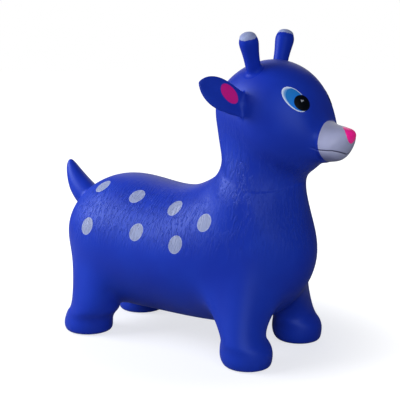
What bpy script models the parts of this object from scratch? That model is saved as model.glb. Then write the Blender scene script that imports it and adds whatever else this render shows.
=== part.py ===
"""Bouncy ride-on animal: an air-filled soft plastic fawn standing on four stub legs.

Frame: +X points to the muzzle, +Y to the animal's left, +Z up, in metres.
The origin lies on the floor under the middle of the animal.
The moulded skin follows one coarse cage, smoothed by subdivision, and is parted into lobes
where its colour changes or where it flexes. Horns, ears, tail, nose and paint films are
seated on that same skin, so they follow it when a size is changed.
"""

import math

import bmesh
import bpy
from mathutils import Matrix, Vector
from mathutils.bvhtree import BVHTree

OBJECT_NAME = "bouncy_ride_on_animal"

# Skin, paint and fits
SKIN_WALL = 0.0020
PIECE_GAP = 0.0003
FILM_THICKNESS = 0.0003
CUT_OVERRUN = 0.02
MERGE_DISTANCE = 0.00001

# Torso: from the rump to the chest, and from the belly to the back. The legs reach up to the belly
TORSO_LENGTH = 0.530
TORSO_WIDTH = 0.236
TORSO_DEPTH = 0.236
BELLY_HEIGHT = 0.052
RUMP_REACH = 0.2904

# Legs and feet
REAR_TRACK = 0.1653
FRONT_TRACK = 0.1773
HOOF_LENGTH = 0.100
HOOF_WIDTH = 0.088
HOOF_SPLAY = 0.024

# Neck: from its back to its throat
NECK_REACH = 0.180
NECK_HEIGHT = 0.120
NECK_WIDTH = 0.145

# Head
HEAD_LENGTH = 0.200
HEAD_HEIGHT = 0.190
HEAD_WIDTH = 0.172

# Muzzle: from its paint border to its tip
MUZZLE_LENGTH = 0.054
MUZZLE_HEIGHT = 0.064
MUZZLE_WIDTH = 0.088

# Horns: hollow, with a knob under a paler domed tip
HORN_LENGTH = 0.0662
HORN_RADIUS = 0.0122
HORN_KNOB_RADIUS = 0.0170
HORN_WALL = 0.0028
HORN_ROOT_HEIGHT = 0.012
HORN_ROOT_FLARE = 0.005
HORN_ROOT_DEPTH = 0.016
HORN_LEAN = math.radians(20)
horn_seat_share = (-0.215, 0.46, 0.78)
horn_shares = ((0.83, 0.55), (0.77, 0.95), (0.67, 1.00), (0.55, 0.64), (0.40, 0.22))

# Ears: solid leaves, hollowed a little in front
EAR_LENGTH = 0.090
EAR_WIDTH = 0.056
EAR_THICKNESS = 0.011
EAR_CUP = 0.006
EAR_ROOT_HEIGHT = 0.014
EAR_ROOT_DEPTH = 0.014
ear_seat_share = (-0.20, 0.80, 0.22)
ear_swell_share = 1.18
ear_axis_share = (-0.41, 0.77, 0.46)
ear_shares = ((0.00, 0.74, 0.95), (0.22, 0.86, 1.00), (0.45, 1.00, 0.95),
              (0.68, 0.92, 0.80), (0.87, 0.62, 0.60), (0.97, 0.26, 0.35))
EAR_LINING_LENGTH = 0.042
EAR_LINING_WIDTH = 0.024
EAR_LINING_TURN = math.radians(-22)
ear_lining_share = (0.34, 0.08)

# Tail: a hollow thorn that curves up
TAIL_LENGTH = 0.0795
TAIL_RADIUS = 0.0265
TAIL_WALL = 0.0030
TAIL_ROOT_HEIGHT = 0.013
TAIL_ROOT_DEPTH = 0.016
tail_seat_share = (0.045, 0.80)
tail_axis_share = (-0.76, 0.65)
tail_swell_share = 1.08
tail_shares = ((0.00, 0.00, 1.00), (0.28, 0.00, 0.90), (0.55, 0.05, 0.74),
               (0.80, 0.15, 0.50), (0.95, 0.23, 0.28))
tail_tip_share = (1.00, 0.265)

# Nose: a solid pad on the tip of the muzzle, narrower below its middle
NOSE_DEPTH = 0.0126
NOSE_WIDTH = 0.031
NOSE_HEIGHT = 0.030
NOSE_SINK = 0.0043
nose_taper_share = 0.22
nose_seat_share = (1.0, 0.73)

# Air valve under the belly
VALVE_HOLE_RADIUS = 0.012
VALVE_FLANGE_RADIUS = 0.016
VALVE_FLANGE_THICKNESS = 0.0015
VALVE_NECK = 0.010
VALVE_BORE_RADIUS = 0.0046
STOPPER_HEAD_RADIUS = 0.009
STOPPER_HEAD_THICKNESS = 0.002
STOPPER_LENGTH = 0.013
stopper_lip_share = 0.75
valve_share = 0.46

# Paint films on the face: centre on the head, length, width and tilt
FILM_CUTTER_DEPTH = 0.030
EYE_WHITE_LENGTH = 0.0545
EYE_WHITE_WIDTH = 0.0310
IRIS_LENGTH = 0.0473
IRIS_WIDTH = 0.0328
PUPIL_LENGTH = 0.0298
PUPIL_WIDTH = 0.0278
GLINT_LENGTH = 0.008
GLINT_WIDTH = 0.005
EYE_TILT = math.radians(-27)
PUPIL_TURN = math.radians(12)
GLINT_TURN = math.radians(63)
eye_white_share = (0.62, 0.632, 0.402)
iris_share = (0.655, 0.600, 0.395)
iris_margin_share = 0.94
pupil_share = (0.70, 0.540, 0.325)
glint_share = (0.685, 0.523, 0.353)

# Spots on the flanks: place along the torso and angle above the torso's middle line
SPOT_LENGTH = 0.034
SPOT_WIDTH = 0.028
SPOT_TILT = math.radians(75)
spot_height_share = 0.50
spot_shares = ((0.216, 61), (0.379, 54.5), (0.223, 18), (0.433, 19.5),
               (0.547, 48), (0.593, 14), (0.689, 36))

# The cage of the skin, as shares of the sizes above.
# A ring is set by its point on the back, its point on the belly and its half width.
cage_swell_share = 1.035
ring_angles = (-90, -68, -44, -20, 5, 32, 62, 90)
rump_tip_share = (0.011, 0.519)
torso_shares = (
    (0.051, 0.766, 0.056, 0.326, 0.489),
    (0.118, 0.916, 0.126, 0.134, 0.825),
    (0.212, 1.010, 0.194, 0.017, 0.976),
    (0.317, 1.016, 0.289, -0.029, 1.002),
    (0.430, 0.966, 0.449, -0.039, 1.001),
    (0.532, 0.965, 0.609, -0.044, 0.981),
    (0.601, 1.038, 0.724, -0.028, 0.944),
    (0.647, 1.099, 0.836, 0.027, 0.915),
    (0.670, 1.202, 0.940, 0.242, 0.780),
)
neck_shares = (
    (0.082, 0.614, 1.048, -0.970, 1.199),
    (0.031, 0.805, 0.912, -0.401, 1.053),
    (-0.005, 0.974, 0.858, 0.154, 0.952),
)
head_shares = (
    (-1.172, 0.236, 0.553, -0.990, 0.874),
    (-0.988, 0.590, 0.648, -0.917, 0.992),
    (-0.565, 0.936, 0.729, -0.839, 1.000),
    (0.005, 1.070, 0.806, -0.774, 0.913),
    (0.563, 0.842, 0.903, -0.743, 0.719),
    (0.821, 0.432, 0.961, -0.745, 0.526),
)
muzzle_shares = (
    (0.040, 0.978, 0.275, -0.026, 0.981),
    (0.620, 0.910, 0.663, 0.001, 0.970),
    (1.055, 0.840, 0.799, 0.186, 0.540),
)
muzzle_tip_share = (0.973, 0.429)
neck_foot_share = (0.643, 1.0)
head_centre_share = (0.617, 1.08)
muzzle_foot_share = (0.86, -0.70)

# Leg stations from root to sole: height, length, width and splay, as shares
rear_leg_shares = (
    (0.920, 0.958, 1.026, 0.097),
    (0.740, 1.009, 1.030, 0.682),
    (0.520, 0.984, 0.987, 0.925),
    (0.290, 1.022, 1.057, 1.025),
    (0.000, 0.947, 1.055, 0.975),
    (0.000, 0.607, 0.696, 1.016),
)
front_leg_shares = (
    (0.959, 0.694, 1.013, 0.558),
    (0.780, 0.893, 1.061, 0.785),
    (0.560, 1.002, 1.011, 0.893),
    (0.300, 0.995, 1.060, 0.875),
    (0.000, 0.872, 1.007, 0.989),
    (0.000, 0.615, 0.697, 1.086),
)
rear_leg_share = 0.2269
front_leg_share = 0.8023
rear_leg_ring = 1
front_leg_ring = 6
leg_rows = (1, 2, 3)

# Colour and roughness of each kind of piece, blue plastic where nothing else is named
BLUE = (0.016, 0.045, 0.42)
PALE = (0.33, 0.35, 0.55)
PINK = (0.62, 0.016, 0.19)
BLUE_ROUGHNESS = 0.35
FINISHES = (
    ("lining", PINK, 0.45),
    ("nose", PINK, 0.35),
    ("horn_tip", PALE, 0.45),
    ("muzzle", PALE, 0.40),
    ("spot", PALE, 0.45),
    ("eye_white", (0.42, 0.50, 0.72), 0.30),
    ("iris", (0.03, 0.20, 0.62), 0.25),
    ("pupil", (0.004, 0.004, 0.006), 0.20),
    ("glint", (0.50, 0.50, 0.52), 0.30),
    ("valve", (0.70, 0.72, 0.74), 0.40),
    ("stopper", (0.75, 0.76, 0.78), 0.40),
)
SHARP_ANGLE = math.radians(50)

LOBES = ("torso_skin", "neck_skin", "head_skin", "muzzle_skin",
         "rear_leg", "front_leg", "rear_foot", "front_foot")


def clear_scene():
    """Remove every object that the open scene holds."""
    for old in list(bpy.data.objects):
        bpy.data.objects.remove(old)


def collection_named(name):
    """Make a collection and link it to the scene."""
    collection = bpy.data.collections.new(name)
    bpy.context.scene.collection.children.link(collection)
    return collection


def point(x, z, y=0.0):
    """A point given by its place along the animal and its height."""
    return Vector((x, y, z))


# Where the tables of the torso, neck, head and muzzle start
torso_start = point(-RUMP_REACH, BELLY_HEIGHT)
neck_start = torso_start + point(neck_foot_share[0] * TORSO_LENGTH, neck_foot_share[1] * TORSO_DEPTH)
head_centre = neck_start + point(head_centre_share[0] * NECK_REACH, head_centre_share[1] * NECK_HEIGHT)
muzzle_start = head_centre + point(muzzle_foot_share[0] * HEAD_LENGTH / 2,
                                   muzzle_foot_share[1] * HEAD_HEIGHT / 2)


def ring(back, belly, half_width):
    """Half a ring of cage points on the +Y side, from the belly line to the back line."""
    middle = (back + belly) / 2
    reach = (back - belly) / 2 * cage_swell_share
    points = []
    for angle in ring_angles:
        turn = math.radians(angle)
        side = half_width * cage_swell_share * math.cos(turn)
        points.append(middle + reach * math.sin(turn) + Vector((0, side, 0)))
    return points


def rings_of(shares, start, length, height, width):
    """The half rings of one lobe, from its table of shares."""
    made = []
    for back_x, back_z, belly_x, belly_z, wide in shares:
        back = start + point(back_x * length, back_z * height)
        belly = start + point(belly_x * length, belly_z * height)
        made.append(ring(back, belly, wide * width / 2))
    return made


def leg_ring(bm, centre, height, long_share, wide_share):
    """Eight cage points of one leg station, from the inner rear corner round to the rear."""
    points = []
    for step in range(8):
        turn = math.radians(225 + 45 * step)
        x = centre.x + long_share * HOOF_LENGTH / 2 * cage_swell_share * math.cos(turn)
        y = centre.y + wide_share * HOOF_WIDTH / 2 * cage_swell_share * math.sin(turn)
        points.append(bm.verts.new((x, y, height)))
    return points


def bridge(bm, upper, lower, lobe, wraps):
    """Join two rows of cage points with quads of one lobe."""
    count = len(upper)
    for i in range(count if wraps else count - 1):
        j = (i + 1) % count
        face = bm.faces.new((upper[i], upper[j], lower[j], lower[i]))
        face.material_index = LOBES.index(lobe)


def add_leg(bm, grid, first_ring, root, direction, leg_shares, leg_lobe, foot_lobe):
    """Grow a leg and its foot out of the two-by-two patch left open in the torso."""
    low, middle, high = leg_rows
    a, b, c = first_ring, first_ring + 1, first_ring + 2
    upper = [grid[a][low], grid[b][low], grid[c][low], grid[c][middle],
             grid[c][high], grid[b][high], grid[a][high], grid[a][middle]]
    lobes = [leg_lobe] * 3 + [foot_lobe] * (len(leg_shares) - 3)
    for lobe, (height, long_share, wide_share, splay) in zip(lobes, leg_shares):
        centre = root + Vector((direction * splay * HOOF_SPLAY, 0, 0))
        lower = leg_ring(bm, centre, height * BELLY_HEIGHT, long_share, wide_share)
        bridge(bm, upper, lower, lobe, wraps=True)
        upper = lower
    sole = bm.verts.new((centre.x, centre.y, 0))
    for i in (0, 2, 4, 6):
        face = bm.faces.new((upper[i], upper[(i + 1) % 8], sole, upper[(i + 7) % 8]))
        face.material_index = LOBES.index(foot_lobe)


def add_tip(bm, row, tip, lobe):
    """Close an end of the half cage with a fan round its tip."""
    tip_vertex = bm.verts.new(tip)
    for i in range(len(row) - 1):
        face = bm.faces.new((row[i], row[i + 1], tip_vertex))
        face.material_index = LOBES.index(lobe)


def skin_cage(guides):
    """The whole skin as a half cage with Mirror and Subdivision Surface."""
    bm = bmesh.new()
    lobes = []
    rows = []
    sections = (("torso_skin", torso_shares, torso_start, TORSO_LENGTH, TORSO_DEPTH, TORSO_WIDTH),
                ("neck_skin", neck_shares, neck_start, NECK_REACH, NECK_HEIGHT, NECK_WIDTH),
                ("head_skin", head_shares, head_centre, HEAD_LENGTH / 2, HEAD_HEIGHT / 2, HEAD_WIDTH),
                ("muzzle_skin", muzzle_shares, muzzle_start, MUZZLE_LENGTH, MUZZLE_HEIGHT, MUZZLE_WIDTH))
    for lobe, shares, start, length, height, width in sections:
        for points in rings_of(shares, start, length, height, width):
            rows.append(points)
            lobes.append(lobe)
    grid = [[bm.verts.new(p) for p in points] for points in rows]
    legs = [first + step for first in (rear_leg_ring, front_leg_ring) for step in (0, 1)]
    for i in range(len(grid) - 1):
        lobe = lobes[i]
        for j in range(len(ring_angles) - 1):
            if i in legs and j in leg_rows[:2]:
                continue
            face = bm.faces.new((grid[i][j], grid[i + 1][j], grid[i + 1][j + 1], grid[i][j + 1]))
            face.material_index = LOBES.index(lobe)
    rump_tip = torso_start + point(rump_tip_share[0] * TORSO_LENGTH, rump_tip_share[1] * TORSO_DEPTH)
    muzzle_tip = muzzle_start + point(muzzle_tip_share[0] * MUZZLE_LENGTH,
                                      muzzle_tip_share[1] * MUZZLE_HEIGHT)
    add_tip(bm, grid[0], rump_tip, "torso_skin")
    add_tip(bm, grid[-1], muzzle_tip, "muzzle_skin")
    rear_root = torso_start + point(rear_leg_share * TORSO_LENGTH, 0, REAR_TRACK / 2)
    front_root = torso_start + point(front_leg_share * TORSO_LENGTH, 0, FRONT_TRACK / 2)
    add_leg(bm, grid, rear_leg_ring, rear_root, -1, rear_leg_shares, "rear_leg", "rear_foot")
    add_leg(bm, grid, front_leg_ring, front_root, 1, front_leg_shares, "front_leg", "front_foot")
    loose = [v for v in bm.verts if not v.link_faces]
    bmesh.ops.delete(bm, geom=loose, context="VERTS")
    bmesh.ops.recalc_face_normals(bm, faces=bm.faces)
    mesh = bpy.data.meshes.new("skin_cage")
    bm.to_mesh(mesh)
    bm.free()
    cage = bpy.data.objects.new("skin_cage", mesh)
    guides.objects.link(cage)
    mirror = cage.modifiers.new("Mirror", "MIRROR")
    mirror.use_axis = (False, True, False)
    mirror.use_clip = True
    mirror.merge_threshold = MERGE_DISTANCE
    smooth = cage.modifiers.new("Subdivision", "SUBSURF")
    smooth.levels = 1
    smooth.render_levels = 1
    return cage


class Surface:
    """The closed faceted surface of a smoothed object, for seating other pieces on it."""

    def __init__(self, source):
        depsgraph = bpy.context.evaluated_depsgraph_get()
        bm = bmesh.new()
        bm.from_object(source, depsgraph)
        bmesh.ops.triangulate(bm, faces=bm.faces)
        bmesh.ops.recalc_face_normals(bm, faces=bm.faces)
        bm.normal_update()
        self.points = [v.co.copy() for v in bm.verts]
        self.normals = [v.normal.copy() for v in bm.verts]
        self.triangles = [tuple(v.index for v in face.verts) for face in bm.faces]
        self.lobes = [face.material_index for face in bm.faces]
        bm.free()
        self.tree = BVHTree.FromPolygons(self.points, self.triangles)

    def seat(self, start, direction):
        """Where a line from inside the surface comes out, and the surface's normal there."""
        place, normal, _, _ = self.tree.ray_cast(start, direction.normalized())
        return place, normal

    def moved(self, distance):
        """Every point of the surface, moved out along its normal."""
        return [p + n * distance for p, n in zip(self.points, self.normals)]

    def envelope(self, name, distance, guides):
        """A solid that reaches a set distance outside the surface."""
        return mesh_object(name, self.moved(distance), self.triangles, guides, cutter=True)

    def layer(self, name, near, far, guides):
        """A closed skin between two distances outside the surface."""
        count = len(self.points)
        inner = [tuple(count + i for i in reversed(t)) for t in self.triangles]
        return mesh_object(name, self.moved(far) + self.moved(near), self.triangles + inner,
                           guides, cutter=True)

    def lobe_wall(self, name, lobe, side, parts):
        """One lobe of the skin as a wall of even thickness, trimmed by half a gap at its rims."""
        index = LOBES.index(lobe)
        chosen = []
        for triangle, mark in zip(self.triangles, self.lobes):
            middle_y = sum(self.points[i].y for i in triangle)
            if mark == index and middle_y * side >= 0:
                chosen.append(triangle)
        edges = {(t[i], t[(i + 1) % 3]) for t in chosen for i in range(3)}
        rim = [(a, b) for a, b in sorted(edges) if (b, a) not in edges]
        rim_points = {i for edge in rim for i in edge}
        used = sorted({i for t in chosen for i in t})
        inward = {i: Vector() for i in rim_points}
        for triangle in chosen:
            middle = sum((self.points[i] for i in triangle), Vector()) / 3
            for i in triangle:
                if i in inward:
                    inward[i] += middle - self.points[i]
        outer = []
        for i in used:
            place = self.points[i].copy()
            if i in inward:
                along = inward[i] - self.normals[i] * inward[i].dot(self.normals[i])
                place += along.normalized() * PIECE_GAP / 2
            outer.append(place)
        inner = [p - self.normals[i] * SKIN_WALL for p, i in zip(outer, used)]
        place_of = {i: n for n, i in enumerate(used)}
        count = len(used)
        faces = [tuple(place_of[i] for i in t) for t in chosen]
        faces += [tuple(count + place_of[i] for i in reversed(t)) for t in chosen]
        for a, b in rim:
            top_a, top_b = place_of[a], place_of[b]
            low_a, low_b = count + top_a, count + top_b
            if a < b:
                faces += [(top_b, top_a, low_b), (top_a, low_a, low_b)]
            else:
                faces += [(top_b, top_a, low_a), (top_b, low_a, low_b)]
        return mesh_object(name, outer + inner, faces, parts)


def mesh_object(name, points, faces, collection, cutter=False):
    """An object made of given points and faces."""
    mesh = bpy.data.meshes.new(name)
    mesh.from_pydata([tuple(p) for p in points], [], faces)
    mesh.update()
    made = bpy.data.objects.new(name, mesh)
    collection.objects.link(made)
    if cutter:
        as_cutter(made)
    return made


def as_cutter(thing):
    """Leave an object out of the model: it only cuts or guides others."""
    thing.hide_render = True
    thing.display_type = "WIRE"
    return thing


def into(collection, thing, name):
    """Name an object made by an operator and move it to its collection."""
    thing.name = name
    thing.data.name = name
    for old in list(thing.users_collection):
        old.objects.unlink(thing)
    collection.objects.link(thing)
    return thing


def cut(thing, cutter, how="DIFFERENCE"):
    """Add a Boolean modifier."""
    boolean = thing.modifiers.new(cutter.name, "BOOLEAN")
    boolean.operation = how
    boolean.solver = "EXACT"
    boolean.object = cutter


def frame_of(place, along, up):
    """A placing matrix whose Z runs along one direction and whose X lies nearest to another."""
    z = along.normalized()
    x = (up - z * up.dot(z)).normalized()
    y = z.cross(x)
    turn = Matrix((x, y, z)).transposed()
    return Matrix.Translation(place) @ turn.to_4x4()


def rod(name, collection, frame, radius, low, high, sides=24):
    """A cylinder along its frame's Z, between two heights."""
    bpy.ops.mesh.primitive_cylinder_add(vertices=sides, radius=radius, depth=high - low)
    made = into(collection, bpy.context.object, name)
    made.data.transform(Matrix.Translation((0, 0, (high + low) / 2)))
    made.matrix_world = frame
    return as_cutter(made)


def block(name, collection, frame, size, top):
    """A cube under a plane at a height of its frame's Z."""
    bpy.ops.mesh.primitive_cube_add(size=size)
    made = into(collection, bpy.context.object, name)
    made.data.transform(Matrix.Translation((0, 0, top - size / 2)))
    made.matrix_world = frame
    return as_cutter(made)


def turned(name, collection, frame, profile, closed, sides=16):
    """A turned solid from a profile of radii and heights that runs down its outer side."""
    mesh = bpy.data.meshes.new(name)
    edges = [(i, i + 1) for i in range(len(profile) - 1)]
    if closed:
        edges.append((len(profile) - 1, 0))
    mesh.from_pydata([(r, 0, z) for r, z in profile], edges, [])
    made = bpy.data.objects.new(name, mesh)
    collection.objects.link(made)
    made.matrix_world = frame
    screw = made.modifiers.new("Screw", "SCREW")
    screw.steps = sides
    screw.render_steps = sides
    screw.use_merge_vertices = True
    screw.merge_threshold = MERGE_DISTANCE
    return made


def loft(name, collection, frame, rows, start=None, end=None):
    """A smoothed solid through closed rows of points, each end shut by a face or a tip."""
    bm = bmesh.new()
    rings = [[bm.verts.new(p) for p in row] for row in rows]
    count = len(rings[0])
    for low, high in zip(rings, rings[1:]):
        for i in range(count):
            j = (i + 1) % count
            bm.faces.new((low[i], low[j], high[j], high[i]))
    for row, tip in ((rings[0], start), (rings[-1], end)):
        if tip is None:
            bm.faces.new(row)
            continue
        tip_vertex = bm.verts.new(tip)
        for i in range(count):
            bm.faces.new((row[i], row[(i + 1) % count], tip_vertex))
    bmesh.ops.recalc_face_normals(bm, faces=bm.faces)
    mesh = bpy.data.meshes.new(name)
    bm.to_mesh(mesh)
    bm.free()
    made = bpy.data.objects.new(name, mesh)
    collection.objects.link(made)
    made.matrix_world = frame
    smooth = made.modifiers.new("Subdivision", "SUBSURF")
    smooth.levels = 1
    smooth.render_levels = 1
    return made


def on_head(shares, side=1):
    """A direction from the head's centre, mirrored for the right side."""
    return Vector((shares[0] * HEAD_LENGTH / 2, side * shares[1] * HEAD_WIDTH / 2,
                   shares[2] * HEAD_HEIGHT / 2))


def oval(name, collection, surface, start, direction, side, length, width, tilt):
    """An oval rod that stands on a surface and crosses its paint layers."""
    place, normal = surface.seat(start, direction)
    ahead = (Vector((1, 0, 0)) - normal * normal.x).normalized()
    up = ahead.cross(normal) * side
    frame = frame_of(place, normal, ahead * math.cos(tilt) + up * math.sin(tilt))
    made = rod(name, collection, frame, 1, -FILM_CUTTER_DEPTH / 2, FILM_CUTTER_DEPTH / 2, sides=16)
    made.data.transform(Matrix.Diagonal((length / 2, width / 2, 1, 1)))
    return made


def film(name, collection, surface, layer, start, direction, side, length, width, tilt):
    """A thin oval paint film that follows the surface it lies on."""
    made = oval(name, collection, surface, start, direction, side, length, width, tilt)
    made.hide_render = False
    made.display_type = "TEXTURED"
    cut(made, layer, "INTERSECT")
    return made


def make_eye(side, word, skin, layers, parts, guides):
    """The four paint films of an eye, the iris kept inside the pale oval."""
    eye = ((eye_white_share, EYE_WHITE_LENGTH, EYE_WHITE_WIDTH, 0, "eye_white"),
           (iris_share, IRIS_LENGTH, IRIS_WIDTH, 0, "iris"),
           (pupil_share, PUPIL_LENGTH, PUPIL_WIDTH, PUPIL_TURN, "pupil"),
           (glint_share, GLINT_LENGTH, GLINT_WIDTH, GLINT_TURN, "eye_glint"))
    for layer, (shares, length, width, turn, name) in zip(layers, eye):
        made = film(word + "_" + name, parts, skin, layer, head_centre, on_head(shares, side), side,
                    length, width, EYE_TILT + turn)
        if name == "iris":
            border = oval(word + "_iris_border", guides, skin, head_centre, on_head(eye_white_share, side),
                          side, iris_margin_share * EYE_WHITE_LENGTH, iris_margin_share * EYE_WHITE_WIDTH,
                          EYE_TILT)
            cut(made, border, "INTERSECT")


def make_horn(side, word, skin, envelope, head, parts, guides):
    """A horn with its flexing root and its paler tip."""
    place, _ = skin.seat(head_centre, on_head(horn_seat_share, side))
    axis = Vector((0, side * math.sin(HORN_LEAN), math.cos(HORN_LEAN)))
    frame = frame_of(place, axis, Vector((1, 0, 0)))
    knob = HORN_KNOB_RADIUS - HORN_RADIUS
    outer = [(HORN_RADIUS + share * knob, high * HORN_LENGTH) for high, share in horn_shares]
    outer.append((HORN_RADIUS, HORN_ROOT_HEIGHT + PIECE_GAP))
    inner = [(radius - HORN_WALL, high) for radius, high in reversed(outer)]
    turned(word + "_horn", parts, frame, outer + inner, closed=True)
    tip_foot = horn_shares[0][0] * HORN_LENGTH + PIECE_GAP
    tip_rise = HORN_LENGTH - tip_foot
    rim = outer[0][0]
    tip = []
    for radius, rise, order in ((rim, tip_rise, (3, 2, 1, 0)),
                                (rim - HORN_WALL, tip_rise - HORN_WALL, (0, 1, 2, 3))):
        for step in order:
            turn = math.radians(90 * step / 3)
            tip.append((radius * math.cos(turn), tip_foot + rise * math.sin(turn)))
    turned(word + "_horn_tip", parts, frame, tip, closed=False)
    root_top = HORN_ROOT_HEIGHT
    foot = HORN_RADIUS + HORN_ROOT_FLARE
    inside = HORN_RADIUS - HORN_WALL
    root_profile = [(HORN_RADIUS, root_top), (HORN_RADIUS + HORN_ROOT_FLARE / 4, root_top / 2),
                    (foot, 0), (foot, -HORN_ROOT_DEPTH), (inside, -HORN_ROOT_DEPTH), (inside, root_top)]
    root = turned(word + "_horn_root", parts, frame, root_profile, closed=True)
    cut(root, envelope)
    bore = rod(word + "_horn_bore", guides, frame, inside, -CUT_OVERRUN, CUT_OVERRUN, sides=16)
    cut(head, bore)


def ear_row(share, wide, thick):
    """Eight points round the ear at one station, its front hollowed."""
    width = wide * EAR_WIDTH / 2 * ear_swell_share
    depth = thick * EAR_THICKNESS / 2 * ear_swell_share
    high = share * EAR_LENGTH
    if share == 0:
        high = -EAR_ROOT_DEPTH
    cup = EAR_CUP * wide
    half = width / 2
    return [(depth - cup, 0, high), (depth - cup / 2, half, high), (0, width, high),
            (-depth - cup / 2, half, high), (-depth - cup, 0, high), (-depth - cup / 2, -half, high),
            (0, -width, high), (depth - cup / 2, -half, high)]


def make_ear(side, word, skin, envelope, parts, guides):
    """An ear with its flexing root and its lining."""
    place, _ = skin.seat(head_centre, on_head(ear_seat_share, side))
    axis = Vector((ear_axis_share[0], side * ear_axis_share[1], ear_axis_share[2]))
    frame = frame_of(place, axis, Vector((1, 0, 0)))
    rows = [ear_row(*row) for row in ear_shares]
    tip = Vector((-EAR_CUP / 4, 0, EAR_LENGTH))
    ear = loft(word + "_ear", parts, frame, rows, end=tip)
    bpy.context.view_layer.update()
    leaf = Surface(ear)
    root = loft(word + "_ear_root", parts, frame, rows, end=tip)
    below = block(word + "_ear_parting", guides, frame, EAR_LENGTH, EAR_ROOT_HEIGHT)
    above = block(word + "_ear_clearance", guides, frame, EAR_LENGTH, EAR_ROOT_HEIGHT + PIECE_GAP)
    cut(root, below, "INTERSECT")
    cut(root, envelope)
    cut(ear, above)
    layer = leaf.layer(word + "_ear_layer", PIECE_GAP, PIECE_GAP + FILM_THICKNESS, guides)
    layer.matrix_world = frame
    middle = Vector((0, -side * ear_lining_share[1] * EAR_WIDTH, ear_lining_share[0] * EAR_LENGTH))
    seat, normal = leaf.seat(middle - Vector((EAR_CUP / 2, 0, 0)), Vector((1, 0, 0)))
    turn = side * EAR_LINING_TURN
    along = Vector((0, math.sin(turn), math.cos(turn)))
    lining = rod(word + "_ear_lining", parts, frame @ frame_of(seat, normal, along), 1,
                 -EAR_THICKNESS / 3, FILM_CUTTER_DEPTH / 2, sides=16)
    lining.data.transform(Matrix.Diagonal((EAR_LINING_LENGTH / 2, EAR_LINING_WIDTH / 2, 1, 1)))
    lining.hide_render = False
    lining.display_type = "TEXTURED"
    cut(lining, layer, "INTERSECT")


def tail_row(high, back, wide, wall):
    """Eight points round the tail at one station."""
    radius = (wide * TAIL_RADIUS - wall) * tail_swell_share
    rise = high * TAIL_LENGTH if high else -TAIL_ROOT_DEPTH
    return [(back * TAIL_LENGTH + radius * math.cos(math.radians(45 * i)),
             radius * math.sin(math.radians(45 * i)), rise) for i in range(8)]


def make_tail(skin, envelope, torso, parts, guides):
    """The tail with its flexing root, both hollow and open to the rump."""
    start = torso_start + point(TORSO_LENGTH / 4, TORSO_DEPTH / 2)
    goal = torso_start + point(tail_seat_share[0] * TORSO_LENGTH, tail_seat_share[1] * TORSO_DEPTH)
    place, _ = skin.seat(start, goal - start)
    axis = point(tail_axis_share[0], tail_axis_share[1])
    frame = frame_of(place, axis, Vector((1, 0, 0)))
    outer = [tail_row(*row, 0) for row in tail_shares]
    inner = [tail_row(*row, TAIL_WALL) for row in reversed(tail_shares)]
    rows = inner + outer
    tip = Vector((tail_tip_share[1] * TAIL_LENGTH, 0, tail_tip_share[0] * TAIL_LENGTH))
    inner_tip = Vector((tail_shares[-1][1] * TAIL_LENGTH, 0, tip.z - TAIL_WALL))
    tail = loft("tail", parts, frame, rows, start=inner_tip, end=tip)
    root = loft("tail_root", parts, frame, rows, start=inner_tip, end=tip)
    below = block("tail_parting", guides, frame, 2 * TAIL_LENGTH, TAIL_ROOT_HEIGHT)
    above = block("tail_clearance", guides, frame, 2 * TAIL_LENGTH, TAIL_ROOT_HEIGHT + PIECE_GAP)
    cut(root, below, "INTERSECT")
    cut(root, envelope)
    cut(tail, above)
    bore = rod("tail_bore", guides, frame, TAIL_RADIUS / 2, -CUT_OVERRUN, CUT_OVERRUN, sides=16)
    cut(torso, bore)


def make_nose(skin, envelope, parts):
    """The nose pad, its back cut to the shape of the muzzle."""
    start = muzzle_start + point(0, MUZZLE_HEIGHT / 2)
    goal = muzzle_start + point(nose_seat_share[0] * MUZZLE_LENGTH, nose_seat_share[1] * MUZZLE_HEIGHT)
    place, normal = skin.seat(start, goal - start)
    normal.y = 0
    frame = frame_of(place - normal.normalized() * NOSE_SINK, normal, Vector((0, 1, 0)))
    bpy.ops.mesh.primitive_uv_sphere_add(segments=16, ring_count=10, radius=1)
    nose = into(parts, bpy.context.object, "nose")
    for vertex in nose.data.vertices:
        vertex.co.x *= 1 + nose_taper_share * vertex.co.y
    nose.data.transform(Matrix.Diagonal((NOSE_WIDTH / 2, NOSE_HEIGHT / 2, NOSE_DEPTH / 2, 1)))
    nose.matrix_world = frame
    cut(nose, envelope)


def make_valve(skin, torso, parts, guides):
    """The valve bush bonded in the belly and the stopper that shuts it."""
    start = torso_start + point(valve_share * TORSO_LENGTH, TORSO_DEPTH / 2)
    place, _ = skin.seat(start, Vector((0, 0, -1)))
    frame = Matrix.Translation(place)
    hole = rod("valve_hole", guides, frame, VALVE_HOLE_RADIUS, -CUT_OVERRUN, CUT_OVERRUN)
    cut(torso, hole)
    neck = VALVE_HOLE_RADIUS - PIECE_GAP
    flange_top = -PIECE_GAP
    flange_foot = flange_top - VALVE_FLANGE_THICKNESS
    bush = [(neck, VALVE_NECK), (neck, flange_top), (VALVE_FLANGE_RADIUS, flange_top),
            (VALVE_FLANGE_RADIUS, flange_foot), (VALVE_BORE_RADIUS, flange_foot),
            (VALVE_BORE_RADIUS, VALVE_NECK)]
    turned("valve_bush", parts, frame, bush, closed=True, sides=20)
    shank = VALVE_BORE_RADIUS - PIECE_GAP
    head_top = flange_foot - PIECE_GAP
    head_foot = head_top - STOPPER_HEAD_THICKNESS
    end = head_top + STOPPER_LENGTH
    plug = [(0, end), (shank * stopper_lip_share, end), (shank, end - shank), (shank, head_top),
            (STOPPER_HEAD_RADIUS, head_top), (STOPPER_HEAD_RADIUS, head_foot), (0, head_foot)]
    turned("stopper", parts, frame, plug, closed=False)


def finish_of(name):
    """Colour and roughness of a piece."""
    for word, colour, roughness in FINISHES:
        if word in name:
            return colour, roughness
    return BLUE, BLUE_ROUGHNESS


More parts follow.
